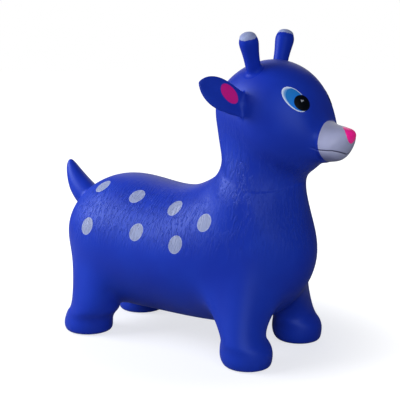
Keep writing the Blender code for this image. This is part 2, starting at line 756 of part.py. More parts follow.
def paint(thing):
    """Shade an object smooth and give it its own plain material."""
    colour, roughness = finish_of(thing.name)
    material = bpy.data.materials.new(thing.name)
    material.use_nodes = True
    shader = material.node_tree.nodes["Principled BSDF"]
    shader.inputs["Base Color"].default_value = (*colour, 1)
    shader.inputs["Roughness"].default_value = roughness
    shader.inputs["Metallic"].default_value = 0
    thing.data.materials.clear()
    thing.data.materials.append(material)
    thing.data.shade_smooth()
    thing.data.set_sharp_from_angle(angle=SHARP_ANGLE)


def main():
    """Build the whole animal."""
    clear_scene()
    parts = collection_named(OBJECT_NAME)
    guides = collection_named("cutters_and_guides")
    cage = as_cutter(skin_cage(guides))
    bpy.context.view_layer.update()
    skin = Surface(cage)
    envelope = skin.envelope("skin_envelope", PIECE_GAP, guides)
    torso = skin.lobe_wall("torso_skin", "torso_skin", 0, parts)
    skin.lobe_wall("neck_skin", "neck_skin", 0, parts)
    head = skin.lobe_wall("head_skin", "head_skin", 0, parts)
    skin.lobe_wall("muzzle_skin", "muzzle_skin", 0, parts)
    steps = [PIECE_GAP + i * (PIECE_GAP + FILM_THICKNESS) for i in range(4)]
    layers = [skin.layer("paint_layer_%d" % i, near, near + FILM_THICKNESS, guides)
              for i, near in enumerate(steps)]
    for side, word in ((1, "left"), (-1, "right")):
        for lobe in ("rear_leg", "front_leg", "rear_foot", "front_foot"):
            skin.lobe_wall(word + "_" + lobe, lobe, side, parts)
        make_horn(side, word, skin, envelope, head, parts, guides)
        make_ear(side, word, skin, envelope, parts, guides)
        make_eye(side, word, skin, layers, parts, guides)
        for number, (along, angle) in enumerate(spot_shares, 1):
            start = torso_start + point(along * TORSO_LENGTH, spot_height_share * TORSO_DEPTH)
            turn = math.radians(angle)
            film("%s_spot_%d" % (word, number), parts, skin, layers[0], start,
                 Vector((0, side * math.cos(turn), math.sin(turn))), side,
                 SPOT_LENGTH, SPOT_WIDTH, SPOT_TILT)
    make_tail(skin, envelope, torso, parts, guides)
    make_nose(skin, envelope, parts)
    make_valve(skin, torso, parts, guides)
    for thing in parts.objects:
        paint(thing)


if __name__ == "__main__":
    main()
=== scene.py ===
"""Looks of the bouncy ride-on animal: its soft blue skin, its limbs, its painted face and spots.

Frame: +X points to the muzzle, +Y to the animal's left, +Z up, in metres.
One coarse cage, smoothed by subdivision, gives the whole skin, and every other piece is seated on it.
"""

import functools
import math

import bmesh
import bpy
import numpy as np
from bpy.props import FloatProperty, FloatVectorProperty, IntProperty, PointerProperty
from mathutils import Matrix, Vector
from mathutils.bvhtree import BVHTree


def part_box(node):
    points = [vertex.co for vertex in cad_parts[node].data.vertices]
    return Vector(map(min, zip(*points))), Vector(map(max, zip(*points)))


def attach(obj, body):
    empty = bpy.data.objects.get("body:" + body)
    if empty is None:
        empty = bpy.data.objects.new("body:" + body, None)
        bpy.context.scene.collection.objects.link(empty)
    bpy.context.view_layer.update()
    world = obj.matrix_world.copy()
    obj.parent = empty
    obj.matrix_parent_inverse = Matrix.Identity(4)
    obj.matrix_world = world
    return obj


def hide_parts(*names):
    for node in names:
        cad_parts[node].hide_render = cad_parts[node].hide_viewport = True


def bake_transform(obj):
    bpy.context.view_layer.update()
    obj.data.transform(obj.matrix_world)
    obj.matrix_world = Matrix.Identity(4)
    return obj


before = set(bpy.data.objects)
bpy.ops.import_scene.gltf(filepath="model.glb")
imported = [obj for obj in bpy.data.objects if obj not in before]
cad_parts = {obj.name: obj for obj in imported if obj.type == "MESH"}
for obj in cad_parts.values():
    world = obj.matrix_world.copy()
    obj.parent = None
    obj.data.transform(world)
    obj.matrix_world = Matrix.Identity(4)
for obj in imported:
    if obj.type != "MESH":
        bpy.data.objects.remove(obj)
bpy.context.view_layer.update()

bl_info = {
    "name": "Bouncy ride-on animal",
    "version": (1, 0, 0),
    "blender": (4, 5, 0),
    "location": "3D View > Sidebar > Bouncy animal",
    "description": "Makes the soft skin, the limbs, the face and the paint of an air-filled ride-on animal",
    "category": "Object",
}


# Shape tables, in shares of the sizes that the property groups hold. A ring of the body is the place and the
# height of its back, the same of its belly, and its width. A leg station is height, length, width and splay.

cage_swell_share = 1.035
ring_angles = (-90, -68, -44, -20, 5, 32, 62, 90)
rump_tip_share = (0.011, 0.519)
torso_shares = (
    (0.051, 0.766, 0.056, 0.326, 0.489),
    (0.118, 0.916, 0.126, 0.134, 0.825),
    (0.212, 1.010, 0.194, 0.017, 0.976),
    (0.317, 1.016, 0.289, -0.029, 1.002),
    (0.430, 0.966, 0.449, -0.039, 1.001),
    (0.532, 0.965, 0.609, -0.044, 0.981),
    (0.601, 1.038, 0.724, -0.028, 0.944),
    (0.647, 1.099, 0.836, 0.027, 0.915),
    (0.670, 1.202, 0.940, 0.242, 0.780),
)
neck_shares = (
    (0.082, 0.614, 1.048, -0.970, 1.199),
    (0.031, 0.805, 0.912, -0.401, 1.053),
    (-0.005, 0.974, 0.858, 0.154, 0.952),
)
head_shares = (
    (-1.172, 0.236, 0.553, -0.990, 0.874),
    (-0.988, 0.590, 0.648, -0.917, 0.992),
    (-0.565, 0.936, 0.729, -0.839, 1.000),
    (0.005, 1.070, 0.806, -0.774, 0.913),
    (0.563, 0.842, 0.903, -0.743, 0.719),
    (0.821, 0.432, 0.961, -0.745, 0.526),
)
muzzle_shares = (
    (0.040, 0.978, 0.275, -0.026, 0.981),
    (0.620, 0.910, 0.663, 0.001, 0.970),
    (1.055, 0.840, 0.799, 0.186, 0.540),
)
muzzle_tip_share = (0.973, 0.429)
neck_foot_share = (0.643, 1.0)
head_centre_share = (0.617, 1.08)
muzzle_foot_share = (0.86, -0.70)
rear_leg_shares = (
    (0.920, 0.995, 1.026, 0.180),
    (0.740, 1.009, 1.030, 0.682),
    (0.520, 0.984, 0.987, 0.925),
    (0.290, 1.022, 1.057, 1.025),
    (0.000, 0.947, 1.055, 0.975),
    (0.000, 0.607, 0.696, 1.016),
)
front_leg_shares = (
    (0.959, 0.694, 1.013, 0.558),
    (0.780, 0.893, 1.061, 0.785),
    (0.560, 1.002, 1.011, 0.893),
    (0.300, 0.995, 1.060, 0.875),
    (0.000, 0.872, 1.007, 0.989),
    (0.000, 0.615, 0.697, 1.086),
)
rear_leg_share = 0.2269
front_leg_share = 0.8023
rear_leg_ring = 1
front_leg_ring = 6
leg_rows = (1, 2, 3)
foot_station = 3

# A horn's row is height and swell, an ear's is height, width and thickness, a tail's height, bend and radius.
horn_seat_share = (-0.215, 0.46, 0.78)
horn_rows_shares = ((0.00, 0.12), (0.22, 0.16), (0.40, 0.32), (0.56, 0.62), (0.68, 0.88),
                    (0.785, 0.86), (0.845, 0.52), (0.915, 0.28), (0.975, -0.48))
horn_split_share = 0.85
horn_top_share = 1.015
round_swell_share = 1.108
ear_seat_share = (-0.20, 0.80, 0.22)
ear_swell_share = 1.18
ear_axis_share = (-0.41, 0.77, 0.46)
ear_shares = ((0.00, 0.74, 0.95), (0.22, 0.85, 1.00), (0.45, 0.98, 0.95),
              (0.68, 0.90, 0.80), (0.87, 0.60, 0.60), (0.97, 0.22, 0.35))
ear_lining_share = (0.335, 0.125)
tail_seat_share = (0.045, 0.80)
tail_axis_share = (-0.76, 0.65)
tail_swell_share = 1.08
tail_shares = ((0.00, 0.00, 1.00), (0.28, 0.00, 0.90), (0.55, 0.05, 0.74),
               (0.80, 0.15, 0.50), (0.95, 0.23, 0.28))
tail_tip_share = (1.00, 0.265)
nose_seat_share = (1.0, 0.70)
valve_share = 0.46

# The seats of the eye's layers are directions from the head's centre. A spot's seat is its place and angle.
eye_white_share = (0.62, 0.632, 0.402)
iris_share = (0.655, 0.600, 0.395)
pupil_share = (0.70, 0.540, 0.325)
glint_share = (0.685, 0.523, 0.353)
spot_height_share = 0.50
spot_shares = ((0.216, 61), (0.379, 54.5), (0.223, 18), (0.433, 19.5),
               (0.547, 48), (0.593, 14), (0.689, 36))

# The paints of the eye: the colour of the upper corner (from, to, colour) if there is one, the colour of the
# rim (from, to, share, colour), then roughness, specular level and tint.
EYE_PAINTS = {
    "eye_white": ((-1.0, 0.2, (0.10, 0.29, 0.66)), (0.72, 0.93, 1.0, (0.66, 0.76, 0.98)),
                  (0.34, 0.10, (0.4, 0.7, 1.0))),
    "iris": ((-0.9, 0.5, (0.020, 0.20, 0.60)), (0.80, 1.0, 0.35, (0.012, 0.10, 0.48)),
             (0.30, 0.10, (0.3, 0.6, 1.0))),
    "pupil": (None, (0.8, 1.0, 1.0, (0.004, 0.008, 0.03)), (0.32, 0.06)),
    "eye_glint": (None, (0.3, 1.0, 1.0, (0.22, 0.25, 0.32)), (0.35,)),
}

LOBES = ("torso_skin", "neck_skin", "head_skin", "muzzle_skin",
         "rear_leg", "front_leg", "rear_foot", "front_foot")
SIDES = (("left", 1), ("right", -1))

# Counts of rings and points, and small lengths in metres, that the making needs.
LIMB_RINGS, FILLET_RINGS, FILM_RINGS, NOSE_RINGS = 34, 10, 12, 16
NOSE_SIDES, EYE_SIDES, OVAL_SIDES, TURNED_SIDES = 56, 56, 40, 64
MERGE_DISTANCE = 0.00001
SHARP_DEGREES = 50
PICTURE_WIDTH = 400
# How deep the hidden border of a piece goes under the skin, and how far a piece looks for the skin.
LIMB_SINK, NOSE_SINK, FILM_EDGE_SINK = 0.0004, 0.0006, 0.0001
LIMB_REACH, FILM_REACH = 0.05, 0.02
# One coat of paint, and how far out in a film its hidden border starts.
SHEET_LIFT = 0.00012
FILM_EDGE = 0.99
# The size of the spots' uneven outlines, and the scale of the noise behind them.
SPOT_WOBBLE, WOBBLE_SCALE = 0.0012, 60.0
# Half the width of the mouth's groove, and how far below its line the painted highlight on the lip is
# brightest.
MOUTH_GROOVE, LIP_DROP = 0.0016, 0.0022


def length(name, default, description):
    """A size in metres, for a property group."""
    return FloatProperty(name=name, description=description, default=default, min=0.0,
                         unit="LENGTH", subtype="DISTANCE", precision=4)


def share(name, default, description, top=1.0):
    """A plain number, for a property group."""
    return FloatProperty(name=name, description=description, default=default, min=0.0, max=top)


def angle(name, default, description):
    """An angle, for a property group. The default is in degrees."""
    return FloatProperty(name=name, description=description, default=math.radians(default),
                         subtype="ANGLE", unit="ROTATION")


def colour(name, default, description):
    """A colour, for a property group."""
    return FloatVectorProperty(name=name, description=description, default=default, size=3,
                               min=0.0, max=1.0, subtype="COLOR")


class AnimalBodySizes(bpy.types.PropertyGroup):
    """Sizes of the torso, legs, neck, head and muzzle."""

    torso_length: length("Torso length", 0.530, "From the rump to the chest")
    torso_width: length("Torso width", 0.236, "Across the widest part of the torso")
    torso_depth: length("Torso depth", 0.236, "From the belly to the back")
    belly_height: length("Belly height", 0.052, "Free height under the belly")
    rump_reach: length("Rump reach", 0.2904, "From the middle of the animal back to the rump")
    rear_track: length("Rear track", 0.1653, "Between the middles of the rear feet")
    front_track: length("Front track", 0.1773, "Between the middles of the front feet")
    hoof_length: length("Hoof length", 0.100, "Length of a foot")
    hoof_width: length("Hoof width", 0.088, "Width of a foot")
    hoof_splay: length("Hoof splay", 0.024, "How far a foot stands out from its leg's root")
    neck_reach: length("Neck reach", 0.180, "From the back of the neck to the throat")
    neck_height: length("Neck height", 0.120, "Height of the neck")
    neck_width: length("Neck width", 0.145, "Width of the neck")
    head_length: length("Head length", 0.200, "Length of the head without the muzzle")
    head_height: length("Head height", 0.190, "Height of the head")
    head_width: length("Head width", 0.172, "Width of the head")
    muzzle_length: length("Muzzle length", 0.054, "From the paint border to the tip")
    muzzle_height: length("Muzzle height", 0.064, "Height of the muzzle")
    muzzle_width: length("Muzzle width", 0.088, "Width of the muzzle")
    shelf_level: length("Shelf level", 0.2985, "Lowest height of the line where the neck meets the chest")
    shelf_middle: length("Shelf middle", 0.166, "How far forward that line is lowest")
    shelf_curve: share("Shelf curve", 4.5, "How fast the line rises beside its lowest place", top=99)
    shelf_out: length("Shelf", 0.0042, "How far the shoulder stands out below the line")
    skin_levels: IntProperty(name="Skin smoothness", default=3, min=1, max=4,
                             description="Subdivision levels of the body and the legs")
    muzzle_levels: IntProperty(name="Muzzle smoothness", default=4, min=1, max=5,
                               description="Subdivision levels of the muzzle")


class AnimalLimbSizes(bpy.types.PropertyGroup):
    """Sizes of the horns, ears and tail, and of the air valve."""

    horn_length: length("Horn length", 0.0662, "From the head to the horn's top")
    horn_radius: length("Horn radius", 0.0122, "Radius of the horn's stem")
    horn_knob_radius: length("Horn knob radius", 0.0170, "Radius of the horn's knob")
    horn_root_height: length("Horn root height", 0.012, "Height of the fillet at the head")
    horn_flare: length("Horn flare", 0.006, "How far the fillet runs out on the head")
    horn_lean: angle("Horn lean", 20, "How far a horn leans outwards")
    horn_paint_share: share("Horn paint edge", 0.867, "Share of the horn's length below its pale paint")
    ear_length: length("Ear length", 0.090, "From the head to the ear's tip")
    ear_width: length("Ear width", 0.056, "Width of the ear")
    ear_thickness: length("Ear thickness", 0.011, "Thickness of the ear's leaf")
    ear_cup: length("Ear cup", 0.006, "How deep the ear's front is hollowed")
    ear_root_height: length("Ear root height", 0.016, "Height of the fillet at the head")
    ear_flare: length("Ear flare", 0.014, "How far the fillet runs out on the head")
    ear_lining_length: length("Lining length", 0.042, "Length of the pink oval in the ear")
    ear_lining_width: length("Lining width", 0.025, "Width of the pink oval in the ear")
    ear_lining_turn: angle("Lining turn", -22, "Turn of the pink oval in the ear")
    tail_length: length("Tail length", 0.0795, "From the rump to the tail's tip")
    tail_radius: length("Tail radius", 0.0265, "Radius of the tail's root")
    tail_root_height: length("Tail root height", 0.013, "Height of the fillet at the rump")
    tail_flare: length("Tail flare", 0.008, "How far the fillet runs out on the rump")
    valve_flange: length("Valve flange", 0.016, "Radius of the valve's flange under the belly")
    valve_hole: length("Valve hole", 0.012, "Radius of the hole in the belly")
    valve_bore: length("Valve bore", 0.0046, "Radius of the valve's bore")
    stopper_head: length("Stopper head", 0.009, "Radius of the stopper's head")


class AnimalFaceSizes(bpy.types.PropertyGroup):
    """Sizes of the nose, mouth, eyes and spots."""

    nose_depth: length("Nose depth", 0.0020, "How far the nose stands out of the muzzle")
    nose_width: length("Nose width", 0.0330, "Width of the nose")
    nose_height: length("Nose height", 0.0280, "Height of the nose")
    nose_taper: share("Nose taper", 0.06, "How much narrower the nose is below its middle")
    mouth_height: length("Mouth height", 0.3734, "Height of the mouth's line above the floor")
    mouth_start: length("Mouth start", 0.248, "Where the mouth's line starts behind the muzzle")
    mouth_bend: length("Mouth bend", 0.036, "Half width at which the mouth's line turns down at the front")
    eye_white_length: length("Eye white length", 0.0545, "Long axis of the pale part of the eye")
    eye_white_width: length("Eye white width", 0.0310, "Short axis of the pale part of the eye")
    iris_length: length("Iris length", 0.0473, "Long axis of the iris")
    iris_width: length("Iris width", 0.0328, "Short axis of the iris")
    pupil_length: length("Pupil length", 0.0298, "Long axis of the pupil")
    pupil_width: length("Pupil width", 0.0278, "Short axis of the pupil")
    glint_length: length("Glint length", 0.008, "Length of the light mark in the pupil")
    glint_width: length("Glint width", 0.005, "Width of the light mark in the pupil")
    iris_margin: share("Iris margin", 0.94, "Share of the pale oval that the iris may fill")
    pupil_turn: angle("Pupil turn", 12, "Turn of the pupil against the eye's long axis")
    glint_turn: angle("Glint turn", 63, "Turn of the light mark against the eye's long axis")
    eye_tilt: angle("Eye tilt", -27, "Tilt of the eye's long axis")
    spot_length: length("Spot length", 0.034, "Long axis of a spot")
    spot_width: length("Spot width", 0.028, "Short axis of a spot")
    spot_tilt: angle("Spot tilt", 75, "Tilt of a spot's long axis")
    wobble_seed: IntProperty(name="Spot seed", default=4, description="Seed of the spots' uneven outlines")


class AnimalFinish(bpy.types.PropertyGroup):
    """Colours and surface of the plastic and the paint."""

    blue: colour("Blue plastic", (0.008, 0.038, 0.47), "Colour of the moulded plastic")
    # The darker tone is also the whole horn's colour, where it is painted shade.
    deep_blue: colour("Deep blue", (0.007, 0.029, 0.41), "Colour of the plastic in its darker patches")
    pale: colour("Pale paint", (0.268, 0.318, 0.525), "Paint of the spots and the horn tips")
    muzzle: colour("Muzzle paint", (0.46, 0.49, 0.74), "Paint of the muzzle")
    pink: colour("Pink paint", (1.00, 0.022, 0.40), "Paint of the nose")
    lining: colour("Ear pink", (0.62, 0.010, 0.27), "Paint inside the ears")
    eye_white: colour("Eye white", (0.14, 0.40, 0.92), "Paint of the pale part of the eye")
    iris: colour("Iris", (0.008, 0.19, 0.84), "Paint of the iris")
    pupil: colour("Pupil", (0.002, 0.003, 0.006), "Paint of the pupil")
    eye_glint: colour("Glint", (0.42, 0.44, 0.52), "Paint of the light mark in the pupil")
    valve: colour("Valve", (0.66, 0.69, 0.74), "Colour of the valve and its stopper")
    roughness: share("Plastic roughness", 0.40, "Roughness of the blue plastic")
    groove_depth: share("Groove depth", 0.80, "Strength of the moulded strokes on the flanks and the chest")


class AnimalStudio(bpy.types.PropertyGroup):
    """The camera and the light."""

    azimuth: angle("Camera azimuth", 33.9, "Angle of the camera in front of the animal's right side")
    elevation: angle("Camera elevation", 11.3, "Angle of the camera above the floor")
    distance: length("Camera distance", 2.0, "From the camera to its target")
    target_x: length("Target along", 0.002, "The camera's target along the animal")
    target_z: length("Target height", 0.255, "The camera's target above the floor")
    focal_px: share("Focal length", 1110, "Focal length in pixels of a 400 pixel wide picture", top=9999)
    key_power: share("Key lamp", 26.5, "Power of the lamp on the left, in watts", top=999)
    back_power: share("Back lamp", 7, "Power of the lamp behind, in watts", top=999)
    fill_power: share("Front lamp", 24, "Power of the lamp over the camera, in watts", top=999)
    sky: share("Sky light", 0.08, "Strength of the even light from all round")


def sizes(group):
    """One of the property groups of the scene."""
    return getattr(bpy.context.scene, "bouncy_" + group)


# The skin


def point(x, z, y=0.0):
    """A point given by its place along the animal and its height."""
    return Vector((x, y, z))


def share_point(shares, long, high):
    """A point given by its shares of a length and of a height."""
    return point(shares[0] * long, shares[1] * high)


def landmarks():
    """Where the tables of the torso, neck, head and muzzle start."""
    b = sizes("body")
    torso = point(-b.rump_reach, b.belly_height)
    neck = torso + share_point(neck_foot_share, b.torso_length, b.torso_depth)
    head = neck + share_point(head_centre_share, b.neck_reach, b.neck_height)
    muzzle = head + share_point(muzzle_foot_share, b.head_length / 2, b.head_height / 2)
    return torso, neck, head, muzzle


def on_head(shares, side):
    """A direction from the head's centre, mirrored for the right side."""
    b = sizes("body")
    return Vector((shares[0] * b.head_length, side * shares[1] * b.head_width, shares[2] * b.head_height)) / 2


def ring(back, belly, half_width):
    """Half a ring of cage points on the +Y side, from the belly line to the back line."""
    middle = (back + belly) / 2
    reach = (back - belly) / 2 * cage_swell_share
    points = []
    for degrees in ring_angles:
        turn = math.radians(degrees)
        side = half_width * cage_swell_share * math.cos(turn)
        points.append(middle + reach * math.sin(turn) + Vector((0, side, 0)))
    return points


def rings_of(shares, start, long, high, wide):
    """The half rings of one lobe, from its table of shares."""
    return [ring(start + share_point(row[:2], long, high), start + share_point(row[2:4], long, high),
                 row[4] * wide / 2) for row in shares]


def leg_ring(bm, centre, height, long_share, wide_share):
    """Eight cage points of one leg station, from the inner rear corner round to the rear."""
    b = sizes("body")
    points = []
    for step in range(8):
        turn = math.radians(225 + 45 * step)
        x = centre.x + long_share * b.hoof_length / 2 * cage_swell_share * math.cos(turn)
        y = centre.y + wide_share * b.hoof_width / 2 * cage_swell_share * math.sin(turn)
        points.append(bm.verts.new((x, y, height)))
    return points


def add_face(bm, corners, lobe):
    """One face of the cage, marked with its lobe."""
    bm.faces.new(corners).material_index = LOBES.index(lobe)


def add_leg(bm, grid, first, root, direction, leg_shares, name):
    """Grow a leg and its foot out of the two-by-two patch left open in the torso."""
    b = sizes("body")
    low, middle, high = leg_rows
    rows = grid[first], grid[first + 1], grid[first + 2]
    upper = [rows[0][low], rows[1][low], rows[2][low], rows[2][middle],
             rows[2][high], rows[1][high], rows[0][high], rows[0][middle]]
    for station, (height, long_share, wide_share, splay) in enumerate(leg_shares):
        lobe = name + ("_leg" if station < foot_station else "_foot")
        centre = root + Vector((direction * splay * b.hoof_splay, 0, 0))
        lower = leg_ring(bm, centre, height * b.belly_height, long_share, wide_share)
        for i in range(8):
            j = (i + 1) % 8
            add_face(bm, (upper[i], upper[j], lower[j], lower[i]), lobe)
        upper = lower
    sole = bm.verts.new((centre.x, centre.y, 0))
    for i in (0, 2, 4, 6):
        add_face(bm, (upper[i], upper[(i + 1) % 8], sole, upper[(i + 7) % 8]), lobe)


def add_tip(bm, row, tip, lobe):
    """Close an end of the half cage with a fan round its tip."""
    tip_vertex = bm.verts.new(tip)
    for first, second in zip(row, row[1:]):
        add_face(bm, (first, second, tip_vertex), lobe)


def cage_mesh():
    """Half of the skin's cage as a mesh."""
    b = sizes("body")
    torso, neck, head, muzzle = landmarks()
    bm = bmesh.new()
    grid = []
    lobes = []
    sections = (("torso_skin", torso_shares, torso, b.torso_length, b.torso_depth, b.torso_width),
                ("neck_skin", neck_shares, neck, b.neck_reach, b.neck_height, b.neck_width),
                ("head_skin", head_shares, head, b.head_length / 2, b.head_height / 2, b.head_width),
                ("muzzle_skin", muzzle_shares, muzzle, b.muzzle_length, b.muzzle_height, b.muzzle_width))
    for lobe, shares, *box in sections:
        for points in rings_of(shares, *box):
            grid.append([bm.verts.new(p) for p in points])
            lobes.append(lobe)
    legs = [first + step for first in (rear_leg_ring, front_leg_ring) for step in (0, 1)]
    for i in range(len(grid) - 1):
        for j in range(len(ring_angles) - 1):
            if i not in legs or j not in leg_rows[:2]:
                add_face(bm, (grid[i][j], grid[i + 1][j], grid[i + 1][j + 1], grid[i][j + 1]), lobes[i])
    rump_tip = torso + share_point(rump_tip_share, b.torso_length, b.torso_depth)
    muzzle_tip = muzzle + share_point(muzzle_tip_share, b.muzzle_length, b.muzzle_height)
    add_tip(bm, grid[0], rump_tip, "torso_skin")
    add_tip(bm, grid[-1], muzzle_tip, "muzzle_skin")
    rear_root = torso + point(rear_leg_share * b.torso_length, 0, b.rear_track / 2)
    front_root = torso + point(front_leg_share * b.torso_length, 0, b.front_track / 2)
    add_leg(bm, grid, rear_leg_ring, rear_root, -1, rear_leg_shares, "rear")
    add_leg(bm, grid, front_leg_ring, front_root, 1, front_leg_shares, "front")
    bmesh.ops.delete(bm, geom=[v for v in bm.verts if not v.link_faces], context="VERTS")
    bmesh.ops.recalc_face_normals(bm, faces=bm.faces)
    mesh = bpy.data.meshes.new("skin_cage")
    bm.to_mesh(mesh)
    bm.free()
    return mesh


def rise(values, low, high):
    """0 below one value, 1 above another, smooth between them."""
    t = np.clip((values - low) / (high - low), 0.0, 1.0)
    return t * t * (3 - 2 * t)


def between(values, low, full, falling, high):
    """1 between two limits and 0 outside, smooth at both."""
    return rise(values, low, full) * (1 - rise(values, falling, high))


def shelf_offsets(points):
    """How far each point of the skin stands out where the shoulder and chest meet the neck.

    The limits are places in metres: along the animal, beside its middle, and above the shelf's line.
    """
    b = sizes("body")
    x, y, z = points.T
    line = z - b.shelf_level - (x - b.shelf_middle) ** 2 * b.shelf_curve
    shoulder = between(x, 0.060, 0.100, 0.112, 0.160)
    chest = between(x, 0.140, 0.165, 0.180, 0.210)
    soft = between(line, -0.090, -0.030, -0.028, 0.004) * rise(np.abs(y), 0.030, 0.062)
    return soft * (shoulder + chest * 0.55) * b.shelf_out


def face_normals(points, faces):
    """The mean direction of the faces at each point of a mesh."""
    corners = points[faces]
    across = np.cross(corners[:, 2] - corners[:, 0], corners[:, 3] - corners[:, 1])
    total = np.zeros_like(points)
    for k in range(faces.shape[1]):
        np.add.at(total, faces[:, k], across)
    return total / np.linalg.norm(total, axis=1)[:, None]


def read_values(items, field, width=3, kind=float):
    """One field of all items of a mesh, as an array with a row for each item."""
    values = np.empty(len(items) * width, kind)
    items.foreach_get(field, values)
    return values.reshape(-1, width)


def linked(name, data):
    """A new object in the scene."""
    made = bpy.data.objects.new(name, data)
    bpy.context.scene.collection.objects.link(made)
    return made


def evaluated_mesh(made):
    """A copy of an object's mesh as its modifiers leave it."""
    bpy.context.view_layer.update()
    return bpy.data.meshes.new_from_object(made.evaluated_get(bpy.context.evaluated_depsgraph_get()))


class Skin:
    """The whole smoothed skin: its points, four-sided faces, lobes and normals."""

    def __init__(self, levels):
        cage = linked("skin_cage", cage_mesh())
        mirror = cage.modifiers.new("Mirror", "MIRROR")
        mirror.use_axis = (False, True, False)
        mirror.use_clip = True
        mirror.merge_threshold = MERGE_DISTANCE
        smooth = cage.modifiers.new("Subdivision", "SUBSURF")
        smooth.levels = smooth.render_levels = levels
        mesh = evaluated_mesh(cage)
        bpy.data.objects.remove(cage)
        self.faces = read_values(mesh.loops, "vertex_index", 1, int).reshape(-1, 4)
        self.lobes = read_values(mesh.polygons, "material_index", 1, int).ravel()
        self.normals = read_values(mesh.vertex_normals, "vector")
        even = read_values(mesh.vertices, "co")
        self.points = even + self.normals * shelf_offsets(even)[:, None]
        self.normals = self.normals + face_normals(self.points, self.faces) - face_normals(even, self.faces)
        self.normals /= np.linalg.norm(self.normals, axis=1)[:, None]
        self.tree = BVHTree.FromPolygons(self.points.tolist(), self.faces.tolist())

    def part(self, lobes, side=0):
        """Points, faces and normals of some lobes, of one side of the animal if one is named."""
        chosen = np.isin(self.lobes, [LOBES.index(lobe) for lobe in lobes])
        if side:
            chosen &= self.points[self.faces, 1].sum(axis=1) * side > 0
        faces = self.faces[chosen]
        used, flat = np.unique(faces, return_inverse=True)
        return self.points[used], flat.reshape(-1, 4), self.normals[used]

    def seat(self, start, direction):
        """Where a line from inside the skin comes out, and the smooth normal there."""
        place, _, face, _ = self.tree.ray_cast(start, direction.normalized())
        return place, self.normal_at(place, face)

    def foot(self, place, direction, reach):
        """Where a line meets the skin from outside, or the nearest place on the skin."""
        start = place - direction * reach
        found, _, face, _ = self.tree.ray_cast(start, direction, reach * 2)
        if found is None:
            found, _, face, _ = self.tree.find_nearest(place)
        return found, self.normal_at(found, face)

    def normal_at(self, place, face):
        """The normal of the smooth skin, weighed from the corners of one face."""
        corners = self.faces[face]
        away = np.linalg.norm(self.points[corners] - np.array(place), axis=1) + 1e-9
        normal = (self.normals[corners] / (away ** 2)[:, None]).sum(axis=0)
        return Vector(normal).normalized()


@functools.cache
def skin_at(levels):
    """The smoothed skin, made once for each smoothness."""
    return Skin(levels)


def add_mark(mesh, name, values):
    """Store a number or a vector at each point, for a material or a node tree to read."""
    values = np.asarray(values, np.float32)
    kind, field = ("FLOAT", "value") if values.ndim == 1 else ("FLOAT_VECTOR", "vector")
    mesh.attributes.new(name, kind, "POINT").data.foreach_set(field, values.ravel())


def mesh_piece(name, points, faces, normals=None, marks=None):
    """An object from points and faces, with its own normals and marks."""
    mesh = bpy.data.meshes.new(name)
    mesh.from_pydata([tuple(p) for p in np.asarray(points).tolist()], [], [tuple(f) for f in faces])
    mesh.update()
    mesh.shade_smooth()
    for mark, values in (marks or {}).items():
        add_mark(mesh, mark, values)
    if normals is not None:
        mesh.normals_split_custom_set_from_vertices(np.asarray(normals).tolist())
    return linked(name, mesh)


def plain_mesh(made):
    """Turn an object with modifiers into its final plain mesh."""
    mesh = evaluated_mesh(made)
    made.modifiers.clear()
    made.data = mesh


def band_faces(rings, sides, first=0, upwards=True):
    """The faces between rings of points, that run round one way or the other."""
    faces = []
    for low in range(first, first + (rings - 1) * sides, sides):
        for j in range(sides):
            k = (j + 1) % sides
            others = (low + k, low + sides + k, low + sides + j)
            faces.append((low + j, *(others if upwards else others[::-1])))
    return faces


# The limbs: horns, ears and tail


def frame_of(place, along, up):
    """A placing matrix whose Z runs along one direction and whose X lies nearest to another."""
    z = along.normalized()
    x = (up - z * up.dot(z)).normalized()
    y = z.cross(x)
    return Matrix.Translation(place) @ Matrix((x, y, z)).transposed().to_4x4()


def bend_weights(t):
    """Weights of four control points at a place between the middle two of a smooth curve."""
    return np.array([(1 - t) ** 3, 3 * t ** 3 - 6 * t ** 2 + 4, -3 * t ** 3 + 3 * t ** 2 + 3 * t + 1,
                     t ** 3]) / 6


def smooth_loop(row, sides):
    """A smooth closed curve round one row of control points."""
    row = np.asarray(row, float)
    count = len(row)
    made = []
    for step in range(sides):
        at = step * count / sides
        first = int(at)
        weights = bend_weights(at - first)
        made.append(sum(weights[k] * row[(first + k - 1) % count] for k in range(4)))
    return np.array(made)


def limb_rows(rows, tip, sides):
    """Smooth control rows of a limb, with the extra rows that its foot and its tip need."""
    loops = [smooth_loop(row, sides) for row in rows]
    tip_loop = np.repeat(np.array([tip], float), sides, axis=0)
    beyond = np.roll(loops[-1], sides // 2, axis=0)
    return [2 * loops[0] - loops[1]] + loops + [tip_loop, beyond]


def limb_row_at(loops, at):
    """The row of a limb at a place between its control rows."""
    first = min(int(at), len(loops) - 4)
    weights = bend_weights(at - first)
    return sum(weights[k] * loops[first + k] for k in range(4))


def place_of_height(loops, height):
    """Where along its control rows a limb reaches a height."""
    low, high = 0.0, float(len(loops) - 3)
    for _ in range(40):
        middle = (low + high) / 2
        if limb_row_at(loops, middle)[:, 2].mean() < height:
            low = middle
        else:
            high = middle
    return (low + high) / 2


def round_row(radius, high, back=0.0):
    """Eight control points round a limb at one height."""
    turns = [math.radians(45 * i) for i in range(8)]
    return [(back + radius * math.cos(turn), radius * math.sin(turn), high) for turn in turns]


def fillet_points(top, down, foot, along):
    """A soft curve that leaves a limb's side downwards and meets the skin along it."""
    reach = (foot - top).length / 2
    handles = top, top + down * reach, foot - along * reach, foot
    made = []
    for step in range(1, FILLET_RINGS + 1):
        t = step / FILLET_RINGS
        weights = (1 - t) ** 3, 3 * t * (1 - t) ** 2, 3 * t * t * (1 - t), t ** 3
        made.append(sum((weight * handle for weight, handle in zip(weights, handles)), Vector()))
    return made


